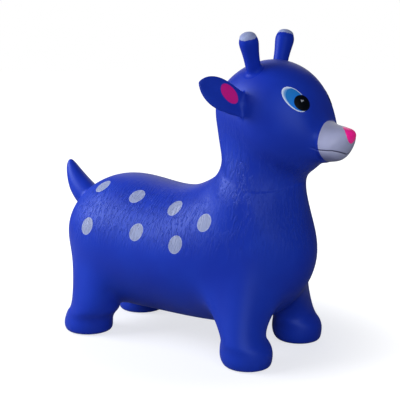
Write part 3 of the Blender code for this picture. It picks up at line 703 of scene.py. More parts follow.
def make_limb(name, skin, placing, rows, tip, root_height, flare, thin=1.0, sides=48):
    """A smooth limb that runs out on the skin with a soft fillet, smaller by a share at its thin edges."""
    loops = limb_rows(rows, tip, sides)
    start = place_of_height(loops, root_height)
    end = float(len(loops) - 3)
    turn = np.array(placing.to_3x3())
    shift = np.array(placing.translation)
    axis = Vector(turn[:, 2])
    flat = Vector(turn[:, 0])
    grid = []
    for step in range(LIMB_RINGS + 1):
        share_up = math.sin(math.pi / 2 * step / LIMB_RINGS)
        grid.append(limb_row_at(loops, start + (end - start) * share_up) @ turn.T + shift)
    just_above = 0.02
    slope = (limb_row_at(loops, start) - limb_row_at(loops, start + just_above)) @ turn.T
    middle = grid[0].mean(axis=0)
    fillets = []
    skin_normals = []
    for j in range(sides):
        top = Vector(grid[0][j])
        out = Vector(grid[0][j] - middle)
        out = (out - axis * out.dot(axis)).normalized()
        spread = flare * (thin + (1 - thin) * abs(out.dot(flat)))
        foot, normal = skin.foot(top + out * spread - axis * root_height, -axis, LIMB_REACH)
        along = (out - normal * out.dot(normal)).normalized()
        fillets.append(fillet_points(top, Vector(slope[j]).normalized(), foot, along))
        skin_normals.append(normal)
    rings = [np.array([column[-1] - normal * LIMB_SINK for column, normal in zip(fillets, skin_normals)])]
    rings += [np.array([column[i] for column in fillets]) for i in reversed(range(FILLET_RINGS))]
    rings += grid[:-1]
    points = np.vstack(rings + [grid[-1].mean(axis=0)[None]])
    last = (len(rings) - 1) * sides
    faces = band_faces(len(rings), sides)
    faces += [(last + j, last + (j + 1) % sides, len(points) - 1) for j in range(sides)]
    made = mesh_piece(name, points, faces, marks={"height": (points - shift) @ turn[:, 2]})
    normals = read_values(made.data.vertex_normals, "vector")
    normals[:sides] = skin_normals
    normals[sides:2 * sides] = skin_normals
    made.data.normals_split_custom_set_from_vertices(normals.tolist())
    add_mark(made.data, "skin_normal", normals)
    return made


# Node trees, and films of paint that follow a surface


def fill_socket(tree, socket, value):
    """Link an output or a term to an input, or set the input's value."""
    if isinstance(value, Term):
        value = value.socket
    if isinstance(value, bpy.types.NodeSocket):
        tree.links.new(value, socket)
    else:
        socket.default_value = value


def tree_node(tree, kind, settings=None, values=None):
    """One node of a tree: its settings, then the values or links of its sockets."""
    made = tree.nodes.new(kind)
    for key, value in (settings or {}).items():
        setattr(made, key, value)
    for key, value in (values or {}).items():
        fill_socket(tree, made.inputs[key], value)
    return made


def film_tree():
    """Geometry Nodes: a flat film at each point of a mesh, laid on a surface."""
    tree = bpy.data.node_groups.new("paint_film", "GeometryNodeTree")
    inputs = {"Geometry": "Geometry", "Surface": "Object", "Disc": "Object", "Lift": "Float",
              "Reach": "Float", "Wobble": "Float", "Seed": "Float", "Paint": "Material"}
    for name, kind in inputs.items():
        tree.interface.new_socket(name, in_out="INPUT", socket_type="NodeSocket" + kind)
    tree.interface.new_socket("Geometry", in_out="OUTPUT", socket_type="NodeSocketGeometry")
    given = tree.nodes.new("NodeGroupInput").outputs

    def node(kind, values=None, settings=None):
        return tree_node(tree, kind, settings, values).outputs

    def maths(operation, first, second):
        return node("ShaderNodeMath", {0: first, 1: second}, {"operation": operation})[0]

    def vectors(operation, *terms):
        return node("ShaderNodeVectorMath", dict(enumerate(terms)), {"operation": operation})[0]

    def scaled(vector, scale):
        return node("ShaderNodeVectorMath", {0: vector, "Scale": scale}, {"operation": "SCALE"})[0]

    def named(name, kind="FLOAT_VECTOR"):
        return node("GeometryNodeInputNamedAttribute", {"Name": name}, {"data_type": kind})[0]

    def geometry_of(key):
        info = node("GeometryNodeObjectInfo", {"Object": given[key]}, {"transform_space": "ORIGINAL"})
        return info["Geometry"]

    out, rim = named("out"), named("rim", "FLOAT")
    turned = node("FunctionNodeAxesToRotation", {0: out, 1: named("ahead")},
                  {"primary_axis": "Z", "secondary_axis": "X"})[0]
    points = node("GeometryNodeMeshToPoints", {"Mesh": given["Geometry"]})[0]
    films = node("GeometryNodeInstanceOnPoints",
                 {"Points": points, "Instance": geometry_of("Disc"), "Rotation": turned})[0]
    films = node("GeometryNodeRealizeInstances", {"Geometry": films})[0]
    here = node("GeometryNodeInputPosition")[0]
    noise = node("ShaderNodeTexNoise",
                 {"Vector": here, "W": given["Seed"], "Scale": WOBBLE_SCALE, "Detail": 1.0},
                 {"noise_dimensions": "4D"})["Color"]
    shift = scaled(vectors("SUBTRACT", noise, (0.5, 0.5, 0.5)), maths("MULTIPLY", given["Wobble"], rim))
    start = vectors("ADD", vectors("ADD", here, shift), scaled(out, given["Reach"]))
    cast = node("GeometryNodeRaycast",
                {"Target Geometry": geometry_of("Surface"), "Attribute": named("skin_normal"),
                 "Source Position": start, "Ray Direction": scaled(out, -1.0),
                 "Ray Length": maths("MULTIPLY", given["Reach"], 2.0)},
                {"data_type": "FLOAT_VECTOR", "mapping": "INTERPOLATED"})
    normal = vectors("NORMALIZE", cast["Attribute"])
    edge = maths("GREATER_THAN", rim, FILM_EDGE)
    sunk = maths("MULTIPLY", edge, maths("ADD", given["Lift"], FILM_EDGE_SINK))
    laid = vectors("ADD", cast["Hit Position"], scaled(normal, maths("SUBTRACT", given["Lift"], sunk)))
    films = node("GeometryNodeStoreNamedAttribute",
                 {"Geometry": films, "Name": "film_normal", "Value": normal},
                 {"data_type": "FLOAT_VECTOR", "domain": "POINT"})[0]
    films = node("GeometryNodeSetPosition",
                 {"Geometry": films, "Selection": cast["Is Hit"], "Position": laid})[0]
    films = node("GeometryNodeSetShadeSmooth", {"Geometry": films})[0]
    films = node("GeometryNodeRealizeInstances", {"Geometry": films})[0]
    films = node("GeometryNodeSetMaterial", {"Geometry": films, "Material": given["Paint"]})[0]
    node("NodeGroupOutput", {0: films})
    return tree


def film_disc(outline):
    """A flat disc inside an outline, with marks for the share of the way out and the place in it."""
    outline = np.asarray(outline, float)
    count = len(outline)
    steps = np.arange(1, FILM_RINGS + 1) / FILM_RINGS
    turns = np.arange(count) * math.tau / count
    middle = outline.mean(axis=0)
    points = [middle] + [middle + (p - middle) * t for t in steps for p in outline]
    places = [(0.0, 0.0, 0.0)] + [(t * math.cos(a), t * math.sin(a), 0.0) for t in steps for a in turns]
    rims = [0.0] + [t for t in steps for _ in turns]
    faces = [(0, 1 + j, 1 + (j + 1) % count) for j in range(count)]
    faces += band_faces(FILM_RINGS, count, 1, upwards=False)
    return mesh_piece("film_disc", [(*p, 0.0) for p in points], faces, marks={"rim": rims, "place": places})


def oval(long, wide):
    """The outline of an oval round its middle."""
    turns = np.arange(OVAL_SIDES) * math.tau / OVAL_SIDES
    return np.stack([long / 2 * np.cos(turns), wide / 2 * np.sin(turns)], axis=1)


def make_films(name, surface, outline, seats, lift, paint, wobble=0.0, seed=0):
    """Films of paint at their seats, as one plain mesh. A seat holds place, normal and long direction."""
    tree = bpy.data.node_groups.get("paint_film") or film_tree()
    disc = film_disc(outline)
    places, outs, aheads = zip(*seats)
    made = mesh_piece(name, places, [], marks={"out": outs, "ahead": aheads})
    laid = made.modifiers.new("Films", "NODES")
    laid.node_group = tree
    values = {"Surface": surface, "Disc": disc, "Lift": lift, "Reach": FILM_REACH,
              "Wobble": wobble, "Seed": float(seed), "Paint": paint}
    for item in tree.interface.items_tree:
        if item.in_out == "INPUT" and item.name in values:
            laid[item.identifier] = values[item.name]
    plain_mesh(made)
    bpy.data.objects.remove(disc)
    normals = read_values(made.data.attributes["film_normal"].data, "vector")
    made.data.normals_split_custom_set_from_vertices(normals.tolist())
    return made


def film_seat(skin, start, direction, side, tilt):
    """Place, normal and long direction of a film, and the direction across it that points up."""
    place, normal = skin.seat(start, direction)
    ahead = (Vector((1, 0, 0)) - normal * normal.x).normalized()
    up = ahead.cross(normal) * side
    along = ahead * math.cos(tilt) + up * math.sin(tilt)
    across = up * math.cos(tilt) - ahead * math.sin(tilt)
    return place, normal, along, across


def ray_to_oval(centre, direction, long, wide):
    """How far it is from a point inside an oval to its border."""
    a, b = long / 2, wide / 2
    px, py = centre[0] / a, centre[1] / b
    dx, dy = direction[0] / a, direction[1] / b
    square = dx * dx + dy * dy
    half = px * dx + py * dy
    return (-half + math.sqrt(max(half * half - square * (px * px + py * py - 1), 0.0))) / square


# Materials


class Term:
    """A socket of a material, so that shader maths reads as plain expressions."""

    def __init__(self, paint, socket):
        self.paint = paint
        self.socket = socket

    def maths(self, operation, *values):
        """Add one Math node."""
        return self.paint.node("ShaderNodeMath", {"operation": operation}, dict(enumerate((self, *values))))

    def __add__(self, other):
        return self.maths("ADD", other)

    def __radd__(self, other):
        return self.maths("ADD", other)

    def __sub__(self, other):
        return self.maths("SUBTRACT", other)

    def __rsub__(self, other):
        return self * -1.0 + other

    def __mul__(self, other):
        return self.maths("MULTIPLY", other)

    def __rmul__(self, other):
        return self.maths("MULTIPLY", other)

    def __abs__(self):
        return self.maths("ABSOLUTE")

    def above(self, low, high):
        """0 below one value, 1 above another, smooth between them."""
        return self.paint.node("ShaderNodeMapRange", {"interpolation_type": "SMOOTHSTEP"},
                               {"Value": self, "From Min": low, "From Max": high})

    def between(self, low, full, falling, high):
        """1 between two limits and 0 outside, smooth at both."""
        return self.above(low, full) * (1 - self.above(falling, high))


class Paint:
    """One material on the object's own coordinates."""

    def __init__(self, name):
        self.material = bpy.data.materials.new(name)
        self.material.use_nodes = True
        self.tree = self.material.node_tree
        self.shader = self.tree.nodes["Principled BSDF"]
        self.coords = self.node("ShaderNodeTexCoord", out="Object")
        self.x, self.y, self.z = self.split(self.coords)

    def node(self, kind, settings=None, inputs=None, out=0):
        """Add one node, its settings before its inputs, and return one of its outputs."""
        return Term(self, tree_node(self.tree, kind, settings, inputs).outputs[out])

    def feed(self, key, value):
        """Link a term to an input of the shader, or set the input's value."""
        fill_socket(self.tree, self.shader.inputs[key], value)

    def split(self, vector):
        """The three parts of a vector."""
        parts = tree_node(self.tree, "ShaderNodeSeparateXYZ", None, {0: vector}).outputs
        return [Term(self, part) for part in parts]

    def vector(self, x, y, z):
        """A vector from three terms or numbers."""
        return self.node("ShaderNodeCombineXYZ", None, {0: x, 1: y, 2: z})

    def mark(self, name, out="Fac"):
        """A value that the piece carries at its points."""
        return self.node("ShaderNodeAttribute", {"attribute_name": name}, out=out)

    def noise(self, scale, detail=2.0, roughness=0.5, vector=None):
        """Plain noise between 0 and 1."""
        return self.node("ShaderNodeTexNoise", None,
                         {"Vector": self.coords if vector is None else vector, "Scale": scale,
                          "Detail": detail, "Roughness": roughness}, "Fac")

    def mix(self, share_of_second, first, second):
        """A colour between two colours."""
        inputs = {0: share_of_second}
        for key, value in ((6, first), (7, second)):
            inputs[key] = value if isinstance(value, Term) else (*value, 1.0)
        return self.node("ShaderNodeMix", {"data_type": "RGBA"}, inputs, 2)

    def bump(self, height, distance):
        """Raise the surface by a height between 0 and 1."""
        self.feed("Normal", self.node("ShaderNodeBump", None, {"Height": height, "Distance": distance}))

    def finish(self, base, roughness, specular=0.14, tint=(1.0, 1.0, 1.0), coat=0.0, coat_roughness=0.2):
        """Set the shader's colour and gloss and return the material."""
        self.feed("Base Color", base if isinstance(base, Term) else (*base, 1.0))
        self.feed("Roughness", roughness)
        self.feed("Specular IOR Level", specular)
        self.feed("Specular Tint", (*tint, 1.0))
        self.feed("Coat Weight", coat)
        self.feed("Coat Roughness", coat_roughness)
        return self.material


def groove_height(paint):
    """Moulded strokes: fine and wavy over the flanks, longer and upright on the chest and the nape.

    The limits are places in metres, along the animal and above the floor.
    """
    x, y, z = paint.x, paint.y, paint.z
    across = x + (paint.noise(26.0) - 0.5) * 0.012 - z * 0.12
    flank_lines = paint.noise(1.0, 2.0, 0.6, paint.vector(across * 360, y * 46, z * 46))
    chest_lines = paint.noise(1.0, 3.0, 0.65, paint.vector(across * 250, y * 200, z * 30))
    flank = z.between(0.165, 0.215, 0.254, 0.292) * x.between(-0.235, -0.185, 0.03, 0.13)
    chest = z.between(0.165, 0.225, 0.335, 0.385) * x.above(0.05, 0.12)
    nape = z.between(0.26, 0.30, 0.40, 0.44) * x.between(0.02, 0.07, 0.12, 0.17)
    flank_marks = flank_lines.above(0.46, 0.58)
    chest_marks = chest_lines.above(0.47, 0.62)
    return flank_marks * flank + chest_marks * (chest * 0.42 + nape * 0.38)


def neck_crease(paint):
    """Height of the fine edge of the shelf where the neck meets the shoulder and the chest."""
    b = sizes("body")
    x, y, z = paint.x, paint.y, paint.z
    ahead = x - b.shelf_middle
    line = z - b.shelf_level - ahead * ahead * b.shelf_curve
    sharp = line.between(-0.060, -0.004, -0.0045, 0.0015) * x.above(0.115, 0.165)
    shoulder = x.between(0.060, 0.100, 0.112, 0.160)
    soft = line.between(-0.090, -0.030, -0.024, 0.002) * abs(y).above(0.030, 0.062)
    return sharp * 1.6 + soft * shoulder * 2.4


def mouth_line(paint):
    """The height above the mouth's line, and 1 along its length. It rises behind and falls at the front."""
    f = sizes("face")
    corner_place, corner_slope, front_slope = 0.258, 0.45, 0.27
    drop = (f.mouth_bend - abs(paint.y)).maths("MAXIMUM", 0.0) * front_slope
    lift = (corner_place - paint.x).maths("MAXIMUM", 0.0) * corner_slope
    reach = paint.x.above(f.mouth_start - 0.003, f.mouth_start + 0.006)
    return paint.z - f.mouth_height + drop - lift, reach


def stroke(height, width):
    """1 on a line, falling to 0 at some distance beside it."""
    return 1 - abs(height).above(0.0, width)


@functools.cache
def blue_vinyl():
    """The satin blue plastic of the whole skin."""
    f = sizes("finish")
    paint = Paint("blue_vinyl")
    patches = paint.noise(9.0, 3.0)
    fine = paint.noise(420.0)
    grooves = groove_height(paint)
    above, reach = mouth_line(paint)
    lip_highlight = stroke(above + LIP_DROP, MOUTH_GROOVE) * reach
    base = paint.mix(patches.above(0.30, 0.70), f.deep_blue, f.blue)
    # The strokes are mixed towards a lighter blue: a painted highlight along the moulded strokes, which also
    # stand out as bumps.
    base = paint.mix(grooves * 0.14, base, (0.06, 0.12, 0.60))
    # A lighter line below the mouth: a painted highlight on the lip.
    base = paint.mix(lip_highlight * 0.35, base, (0.12, 0.18, 0.62))
    mouth = stroke(above, MOUTH_GROOVE) * reach
    paint.bump(grooves * f.groove_depth + fine * 0.05 - mouth * 0.8 + neck_crease(paint), 0.0012)
    return paint.finish(base, f.roughness + patches * 0.08 + fine * 0.04, 0.36, (0.43, 0.60, 1.0))


@functools.cache
def horn_vinyl():
    """The blue plastic in its darker tone, painted shade on the horn, with a pale dip of paint over the
    horn's top, brightened as a painted highlight.
    """
    f, s = sizes("finish"), sizes("limbs")
    paint = Paint("horn_vinyl")
    ragged = (paint.noise(210.0, 3.0) - 0.5) * 0.0042
    edge = s.horn_paint_share * s.horn_length
    painted = (paint.mark("height") + ragged).above(edge - 0.0006, edge + 0.0006)
    thin = paint.noise(130.0).above(0.35, 0.65)
    # The pale tip is the spots' paint made brighter: a painted highlight on the horn's top.
    bright = [1.18 * value for value in f.pale]
    # The horn's blue is the darker tone throughout: painted shade on the horn.
    base = paint.mix(painted, f.deep_blue, paint.mix(thin * 0.35, bright, (0.20, 0.22, 0.50)))
    paint.bump(paint.noise(420.0) * 0.1 + painted * 0.2, 0.0006)
    return paint.finish(base, 0.40 + painted * 0.12, 0.14, (0.25, 0.45, 1.0))


@functools.cache
def pale_spot():
    """The pale paint of the spots, with the skin's strokes showing through as bumps and as painted
    highlights.
    """
    f = sizes("finish")
    paint = Paint("pale_spot")
    grooves = groove_height(paint)
    worn = paint.noise(260.0, 3.0)
    base = paint.mix(worn.above(0.35, 0.75) * 0.30, f.pale, (0.27, 0.29, 0.52))
    # The strokes are mixed towards a lighter paint: a painted highlight along the moulded strokes.
    base = paint.mix(grooves * 0.25, base, (0.50, 0.54, 0.76))
    base = paint.mix(paint.mark("rim").above(0.86, 0.97) * 0.55, base, (0.50, 0.56, 0.80))
    paint.bump(grooves * f.groove_depth + worn * 0.06, 0.0012)
    return paint.finish(base, 0.42)


@functools.cache
def muzzle_paint():
    """The lavender paint of the muzzle, with its lighter rim, a painted highlight on the lip, and painted
    shade in the mouth's groove and under the mouth.
    """
    f = sizes("finish")
    paint = Paint("muzzle_paint")
    soft = paint.noise(40.0)
    above, reach = mouth_line(paint)
    groove = stroke(above, MOUTH_GROOVE) * reach
    lip_highlight = stroke(above + LIP_DROP, 0.0018) * reach
    under = (1 - above.above(-0.022, 0.0)) * reach
    inside = paint.mark("rim") - paint.z.above(0.372, 0.414) * 0.0048
    base = paint.mix(soft.above(0.3, 0.7) * 0.25, f.muzzle, (0.39, 0.41, 0.66))
    base = paint.mix((1 - inside.above(0.0006, 0.0022)) * 0.55, base, (0.50, 0.53, 0.78))
    base = paint.mix(inside.above(0.0, 0.0005), f.blue, base)
    # A lighter line below the mouth: a painted highlight on the lip.
    base = paint.mix(lip_highlight * 0.45, base, (0.58, 0.60, 0.80))
    # Darker below the mouth: painted shade under the jaw.
    base = paint.mix(under * 0.95, base, (0.16, 0.16, 0.30))
    # The groove is darkened nearly black: painted shade in the crease.
    base = paint.mix(groove.above(0.2, 0.9) * 0.85, base, (0.02, 0.02, 0.09))
    paint.bump(paint.noise(300.0) * 0.06 - groove, 0.0014)
    return paint.finish(base, 0.34 + soft * 0.08, coat=0.15, coat_roughness=0.25)


@functools.cache
def nose_paint():
    """Glossy magenta paint, a little uneven and darker at its edge, with a faint glow that is painted light.
    """
    f = sizes("finish")
    paint = Paint("nose_paint")
    soft = paint.noise(120.0)
    base = paint.mix(soft.above(0.35, 0.7) * 0.30, f.pink, (0.85, 0.012, 0.30))
    base = paint.mix(paint.mark("rim").above(0.92, 1.0) * 0.3, base, (0.55, 0.010, 0.20))
    paint.bump(soft * 0.4, 0.0006)
    # A faint red glow: painted light that makes the nose look brighter and redder.
    paint.feed("Emission Color", (1.0, 0.0, 0.12, 1.0))
    paint.feed("Emission Strength", 0.17)
    return paint.finish(base, 0.30, 0.80, (1.0, 0.16, 0.50), coat=0.06)


@functools.cache
def lining_paint():
    """Matt pink paint inside the ears with a soft sprayed edge."""
    f = sizes("finish")
    paint = Paint("lining_paint")
    grain = paint.noise(380.0, 3.0)
    edge = (paint.mark("rim") + (grain - 0.5) * 0.10).above(0.88, 1.0)
    base = paint.mix(grain.above(0.3, 0.8) * 0.20, f.lining, (0.36, 0.008, 0.16))
    base = paint.mix(edge * 0.7, base, (0.05, 0.02, 0.34))
    paint.bump(grain * 0.2, 0.0004)
    return paint.finish(base, 0.50)


@functools.cache
def eye_paint(name):
    """One of the four paints of the eye, from its row in the table."""
    corner, (low, high, most, rim_colour), gloss = EYE_PAINTS[name]
    paint = Paint(name + "_paint")
    base = getattr(sizes("finish"), name)
    if corner:
        along = paint.split(paint.mark("place", "Vector"))[0]
        base = paint.mix(along.above(*corner[:2]), corner[2], base)
    base = paint.mix(paint.mark("rim").above(low, high) * most, base, rim_colour)
    paint.bump(paint.noise(300.0) * 0.1, 0.0004)
    return paint.finish(base, *gloss)


@functools.cache
def valve_plastic():
    """Milky soft plastic of the valve and the stopper."""
    f = sizes("finish")
    paint = Paint("valve_plastic")
    fine = paint.noise(700.0)
    base = paint.mix(paint.noise(90.0).above(0.3, 0.7) * 0.4, f.valve, (0.52, 0.56, 0.64))
    paint.bump(fine * 0.2, 0.0003)
    return paint.finish(base, 0.38 + fine * 0.1)


def floor_material():
    """Pale floor that looks white to the camera and keeps the object's shadow; near the object it glows less
    and a little bluer, painted shade round the object.
    """
    paint = Paint("pale_floor")
    away = paint.node("ShaderNodeVectorMath", {"operation": "LENGTH"}, {0: paint.coords}, "Value")
    # The floor glows less near the object. This lets the real shadow show and also paints shade round the
    # object.
    glow = paint.mix(away.above(0.20, 0.50), (0.85, 0.86, 0.90), (1.30, 1.30, 1.30))
    paint.feed("Emission Color", glow)
    paint.feed("Emission Strength", paint.node("ShaderNodeLightPath", out="Is Camera Ray") * 0.80)
    return paint.finish((0.34, 0.35, 0.37), 0.9, specular=0.0)


# The operators, each followed by the functions that it alone needs


class BOUNCY_OT_skin(bpy.types.Operator):
    """Make the body skin, the four legs and the muzzle"""

    bl_idname = "bouncy.skin"
    bl_label = "Skin"

    def execute(self, context):
        b, s = sizes("body"), sizes("limbs")
        skin = skin_at(b.skin_levels)
        points, faces, normals = skin.part(("torso_skin", "neck_skin", "head_skin"))
        points, faces = open_valve_hole(skin, points, faces, s.valve_hole)
        body = mesh_piece("body_skin", points, faces.tolist(), normals, {"skin_normal": normals})
        body.data.materials.append(blue_vinyl())
        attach(body, "torso")
        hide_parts("torso_skin", "neck_skin", "head_skin")
        for word, side in SIDES:
            for place in ("rear", "front"):
                points, faces, normals = skin.part((place + "_leg", place + "_foot"), side)
                leg = mesh_piece("%s_%s_limb" % (word, place), points, faces.tolist(), normals)
                leg.data.materials.append(blue_vinyl())
                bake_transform(leg)
                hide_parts("%s_%s_leg" % (word, place), "%s_%s_foot" % (word, place))
        fine = skin_at(b.muzzle_levels)
        points, faces, normals = fine.part(("muzzle_skin",))
        muzzle = mesh_piece("muzzle", points, faces.tolist(), normals, {"rim": rim_distance(points, faces)})
        muzzle.data.materials.append(muzzle_paint())
        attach(muzzle, "torso")
        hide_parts("muzzle_skin")
        return {"FINISHED"}


def open_valve_hole(skin, points, faces, radius):
    """Cut a round hole in the belly for the valve, its rim hidden by the flange."""
    b = sizes("body")
    cut_share, rim_share, belly_share = 0.9, 1.12, 1.5
    centre = np.array((landmarks()[0].x + valve_share * b.torso_length, 0.0))
    away = np.linalg.norm(points[:, :2] - centre, axis=1)
    below = points[:, 2] < b.belly_height * belly_share
    inside = (away < radius * cut_share) & below
    keep = ~inside[faces].any(axis=1)
    rim = np.intersect1d(faces[~keep], faces[keep])
    faces = faces[keep]
    points = points.copy()
    for i in rim:
        offset = points[i, :2] - centre
        flat = centre + offset / np.linalg.norm(offset) * radius * rim_share
        points[i] = skin.tree.ray_cast(Vector((*flat, 0.0)), Vector((0, 0, 1)))[0]
    used = np.unique(faces)
    unused = np.ones(len(points), bool)
    unused[used] = False
    points[unused] = points[used[0]]
    return points, faces


def rim_distance(points, faces):
    """How far each point of a patch is from the patch's border."""
    edges = np.sort(np.vstack([faces[:, [k, (k + 1) % 4]] for k in range(4)]), axis=1)
    once, counts = np.unique(edges, axis=0, return_counts=True)
    border = points[np.unique(once[counts == 1])]
    return np.array([np.linalg.norm(border - p, axis=1).min() for p in points])


class BOUNCY_OT_horns(bpy.types.Operator):
    """Make the two horns and their pale tips"""

    bl_idname = "bouncy.horns"
    bl_label = "Horns"

    def execute(self, context):
        s = sizes("limbs")
        skin = skin_at(sizes("body").muzzle_levels)
        head = landmarks()[2]
        knob = s.horn_knob_radius - s.horn_radius
        rows = [round_row((s.horn_radius + wide * knob) * round_swell_share, high * s.horn_length)
                for high, wide in horn_rows_shares]
        tip = (0, 0, horn_top_share * s.horn_length)
        for word, side in SIDES:
            place, _ = skin.seat(head, on_head(horn_seat_share, side))
            axis = Vector((0, side * math.sin(s.horn_lean), math.cos(s.horn_lean)))
            placing = frame_of(place, axis, Vector((1, 0, 0)))
            horn = make_limb(word + "_horn_limb", skin, placing, rows, tip, s.horn_root_height, s.horn_flare)
            horn, cap = split_above(horn, word + "_horn_cap", "height", horn_split_share * s.horn_length)
            for piece in (horn, cap):
                piece.data.materials.append(horn_vinyl())
            body = word + "_horn"
            tuple(place + axis * s.horn_root_height)
            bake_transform(horn)
            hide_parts(word + "_horn", word + "_horn_root")
            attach(cap, body)
            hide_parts(word + "_horn_tip")
        return {"FINISHED"}


def split_above(made, name, mark, limit):
    """Move the faces whose mark lies above a limit to a new object."""
    mesh = made.data
    points = read_values(mesh.vertices, "co")
    normals = read_values(mesh.attributes["skin_normal"].data, "vector")
    marks = read_values(mesh.attributes[mark].data, "value", 1).ravel()
    faces = [tuple(p.vertices) for p in mesh.polygons]
    upper = [np.mean([marks[i] for i in face]) > limit for face in faces]
    lower_name = made.name
    bpy.data.objects.remove(made)
    pieces = []
    for piece_name, wanted in ((lower_name, False), (name, True)):
        chosen = [face for face, high in zip(faces, upper) if high == wanted]
        used = sorted({i for face in chosen for i in face})
        place_of = {i: n for n, i in enumerate(used)}
        renumbered = [[place_of[i] for i in face] for face in chosen]
        kept_marks = {mark: marks[used], "skin_normal": normals[used]}
        pieces.append(mesh_piece(piece_name, points[used], renumbered, normals[used], kept_marks))
    return pieces


class BOUNCY_OT_ears(bpy.types.Operator):
    """Make the two ears and their pink linings"""

    bl_idname = "bouncy.ears"
    bl_label = "Ears"

    def execute(self, context):
        s = sizes("limbs")
        skin = skin_at(sizes("body").muzzle_levels)
        head = landmarks()[2]
        rows = [ear_row(*row) for row in ear_shares]
        tip = (-s.ear_cup / 4, 0, s.ear_length)
        for word, side in SIDES:
            place, _ = skin.seat(head, on_head(ear_seat_share, side))
            axis = Vector((ear_axis_share[0], side * ear_axis_share[1], ear_axis_share[2])).normalized()
            placing = frame_of(place, axis, Vector((1, 0, 0)))
            ear = make_limb(word + "_ear_leaf", skin, placing, rows, tip, s.ear_root_height, s.ear_flare,
                            thin=0.15, sides=64)
            ear.data.materials.append(blue_vinyl())
            middle = placing @ Vector((0, -side * ear_lining_share[1] * s.ear_width,
                                       ear_lining_share[0] * s.ear_length))
            face_out = placing.to_3x3() @ Vector((1, 0, 0))
            turn = side * s.ear_lining_turn
            along = placing.to_3x3() @ Vector((0, math.sin(turn), math.cos(turn)))
            lining = make_films(word + "_ear_paint", ear, oval(s.ear_lining_length, s.ear_lining_width),
                                [(middle, face_out, along)], SHEET_LIFT, lining_paint())
            body = word + "_ear"
            tuple(place + axis * s.ear_root_height)
            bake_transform(ear)
            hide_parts(word + "_ear", word + "_ear_root")
            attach(lining, body)
            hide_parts(word + "_ear_lining")
        return {"FINISHED"}


def ear_row(share_up, wide, thick):
    """Eight points round the ear at one station, its front hollowed."""
    s = sizes("limbs")
    width = wide * s.ear_width / 2 * ear_swell_share
    depth = thick * s.ear_thickness / 2 * ear_swell_share
    high = share_up * s.ear_length if share_up else -s.ear_root_height
    cup = s.ear_cup * wide
    half = width / 2
    return [(depth - cup, 0, high), (depth - cup / 2, half, high), (0, width, high),
            (-depth - cup / 2, half, high), (-depth - cup, 0, high), (-depth - cup / 2, -half, high),
            (0, -width, high), (depth - cup / 2, -half, high)]


class BOUNCY_OT_tail(bpy.types.Operator):
    """Make the tail"""

    bl_idname = "bouncy.tail"
    bl_label = "Tail"

    def execute(self, context):
        b, s = sizes("body"), sizes("limbs")
        skin = skin_at(b.muzzle_levels)
        torso = landmarks()[0]
        start = torso + point(b.torso_length / 4, b.torso_depth / 2)
        goal = torso + share_point(tail_seat_share, b.torso_length, b.torso_depth)
        place, _ = skin.seat(start, goal - start)
        axis = point(*tail_axis_share).normalized()
        placing = frame_of(place, axis, Vector((1, 0, 0)))
        rows = []
        for high, back, wide in tail_shares:
            level = high * s.tail_length if high else -s.tail_root_height
            rows.append(round_row(wide * s.tail_radius * tail_swell_share, level, back * s.tail_length))
        tip = (tail_tip_share[1] * s.tail_length, 0, tail_tip_share[0] * s.tail_length)
        tail = make_limb("tail_thorn", skin, placing, rows, tip, s.tail_root_height, s.tail_flare)
        tail.data.materials.append(blue_vinyl())
        tuple(place + axis * s.tail_root_height)
        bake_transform(tail)
        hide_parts("tail", "tail_root")
        return {"FINISHED"}


class BOUNCY_OT_nose(bpy.types.Operator):
    """Make the nose pad on the muzzle"""

    bl_idname = "bouncy.nose"
    bl_label = "Nose"

    def execute(self, context):
        b, f = sizes("body"), sizes("face")
        skin = skin_at(b.muzzle_levels)
        muzzle = landmarks()[3]
        start = muzzle + point(0, b.muzzle_height / 2)
        goal = muzzle + share_point(nose_seat_share, b.muzzle_length, b.muzzle_height)
        place, normal = skin.seat(start, goal - start)
        normal.y = 0
        normal.normalize()
        placing = frame_of(place, normal, Vector((0, 1, 0)))
        across, up = placing.col[0].to_3d(), placing.col[1].to_3d()
        if up.z < 0:
            up = -up
        points, rims = [], []
        edge_power, top_power, side_power = 3.0, 0.5, 0.3
        for i in range(1, NOSE_RINGS + 1):
            t = min(i / (NOSE_RINGS - 1), 1.0)
            lift = f.nose_depth * (1 - t ** edge_power) ** top_power if i < NOSE_RINGS else -NOSE_SINK
            for j in range(NOSE_SIDES):
                turn = math.tau * j / NOSE_SIDES
                wide = f.nose_width / 2 * (1.0 + f.nose_taper * math.sin(turn))
                wide *= abs(math.cos(turn)) ** side_power
                seat = place + (across * wide * math.cos(turn) + up * f.nose_height / 2 * math.sin(turn)) * t
                base, _ = skin.foot(seat, -normal, FILM_REACH)
                points.append(base + normal * lift)
                rims.append(t)
        points.append(place + normal * f.nose_depth)
        rims.append(0.0)
        faces = band_faces(NOSE_RINGS, NOSE_SIDES, upwards=False)
        faces += [(len(points) - 1, j, (j + 1) % NOSE_SIDES) for j in range(NOSE_SIDES)]
        nose = mesh_piece("nose_pad", points, faces, marks={"rim": rims})
        face_outwards(nose.data)
        nose.data.materials.append(nose_paint())
        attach(nose, "torso")
        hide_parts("nose")
        return {"FINISHED"}


def face_outwards(mesh):
    """Turn the faces of a nearly closed mesh outwards."""
    bm = bmesh.new()
    bm.from_mesh(mesh)
    bmesh.ops.recalc_face_normals(bm, faces=bm.faces)
    bm.to_mesh(mesh)
    bm.free()


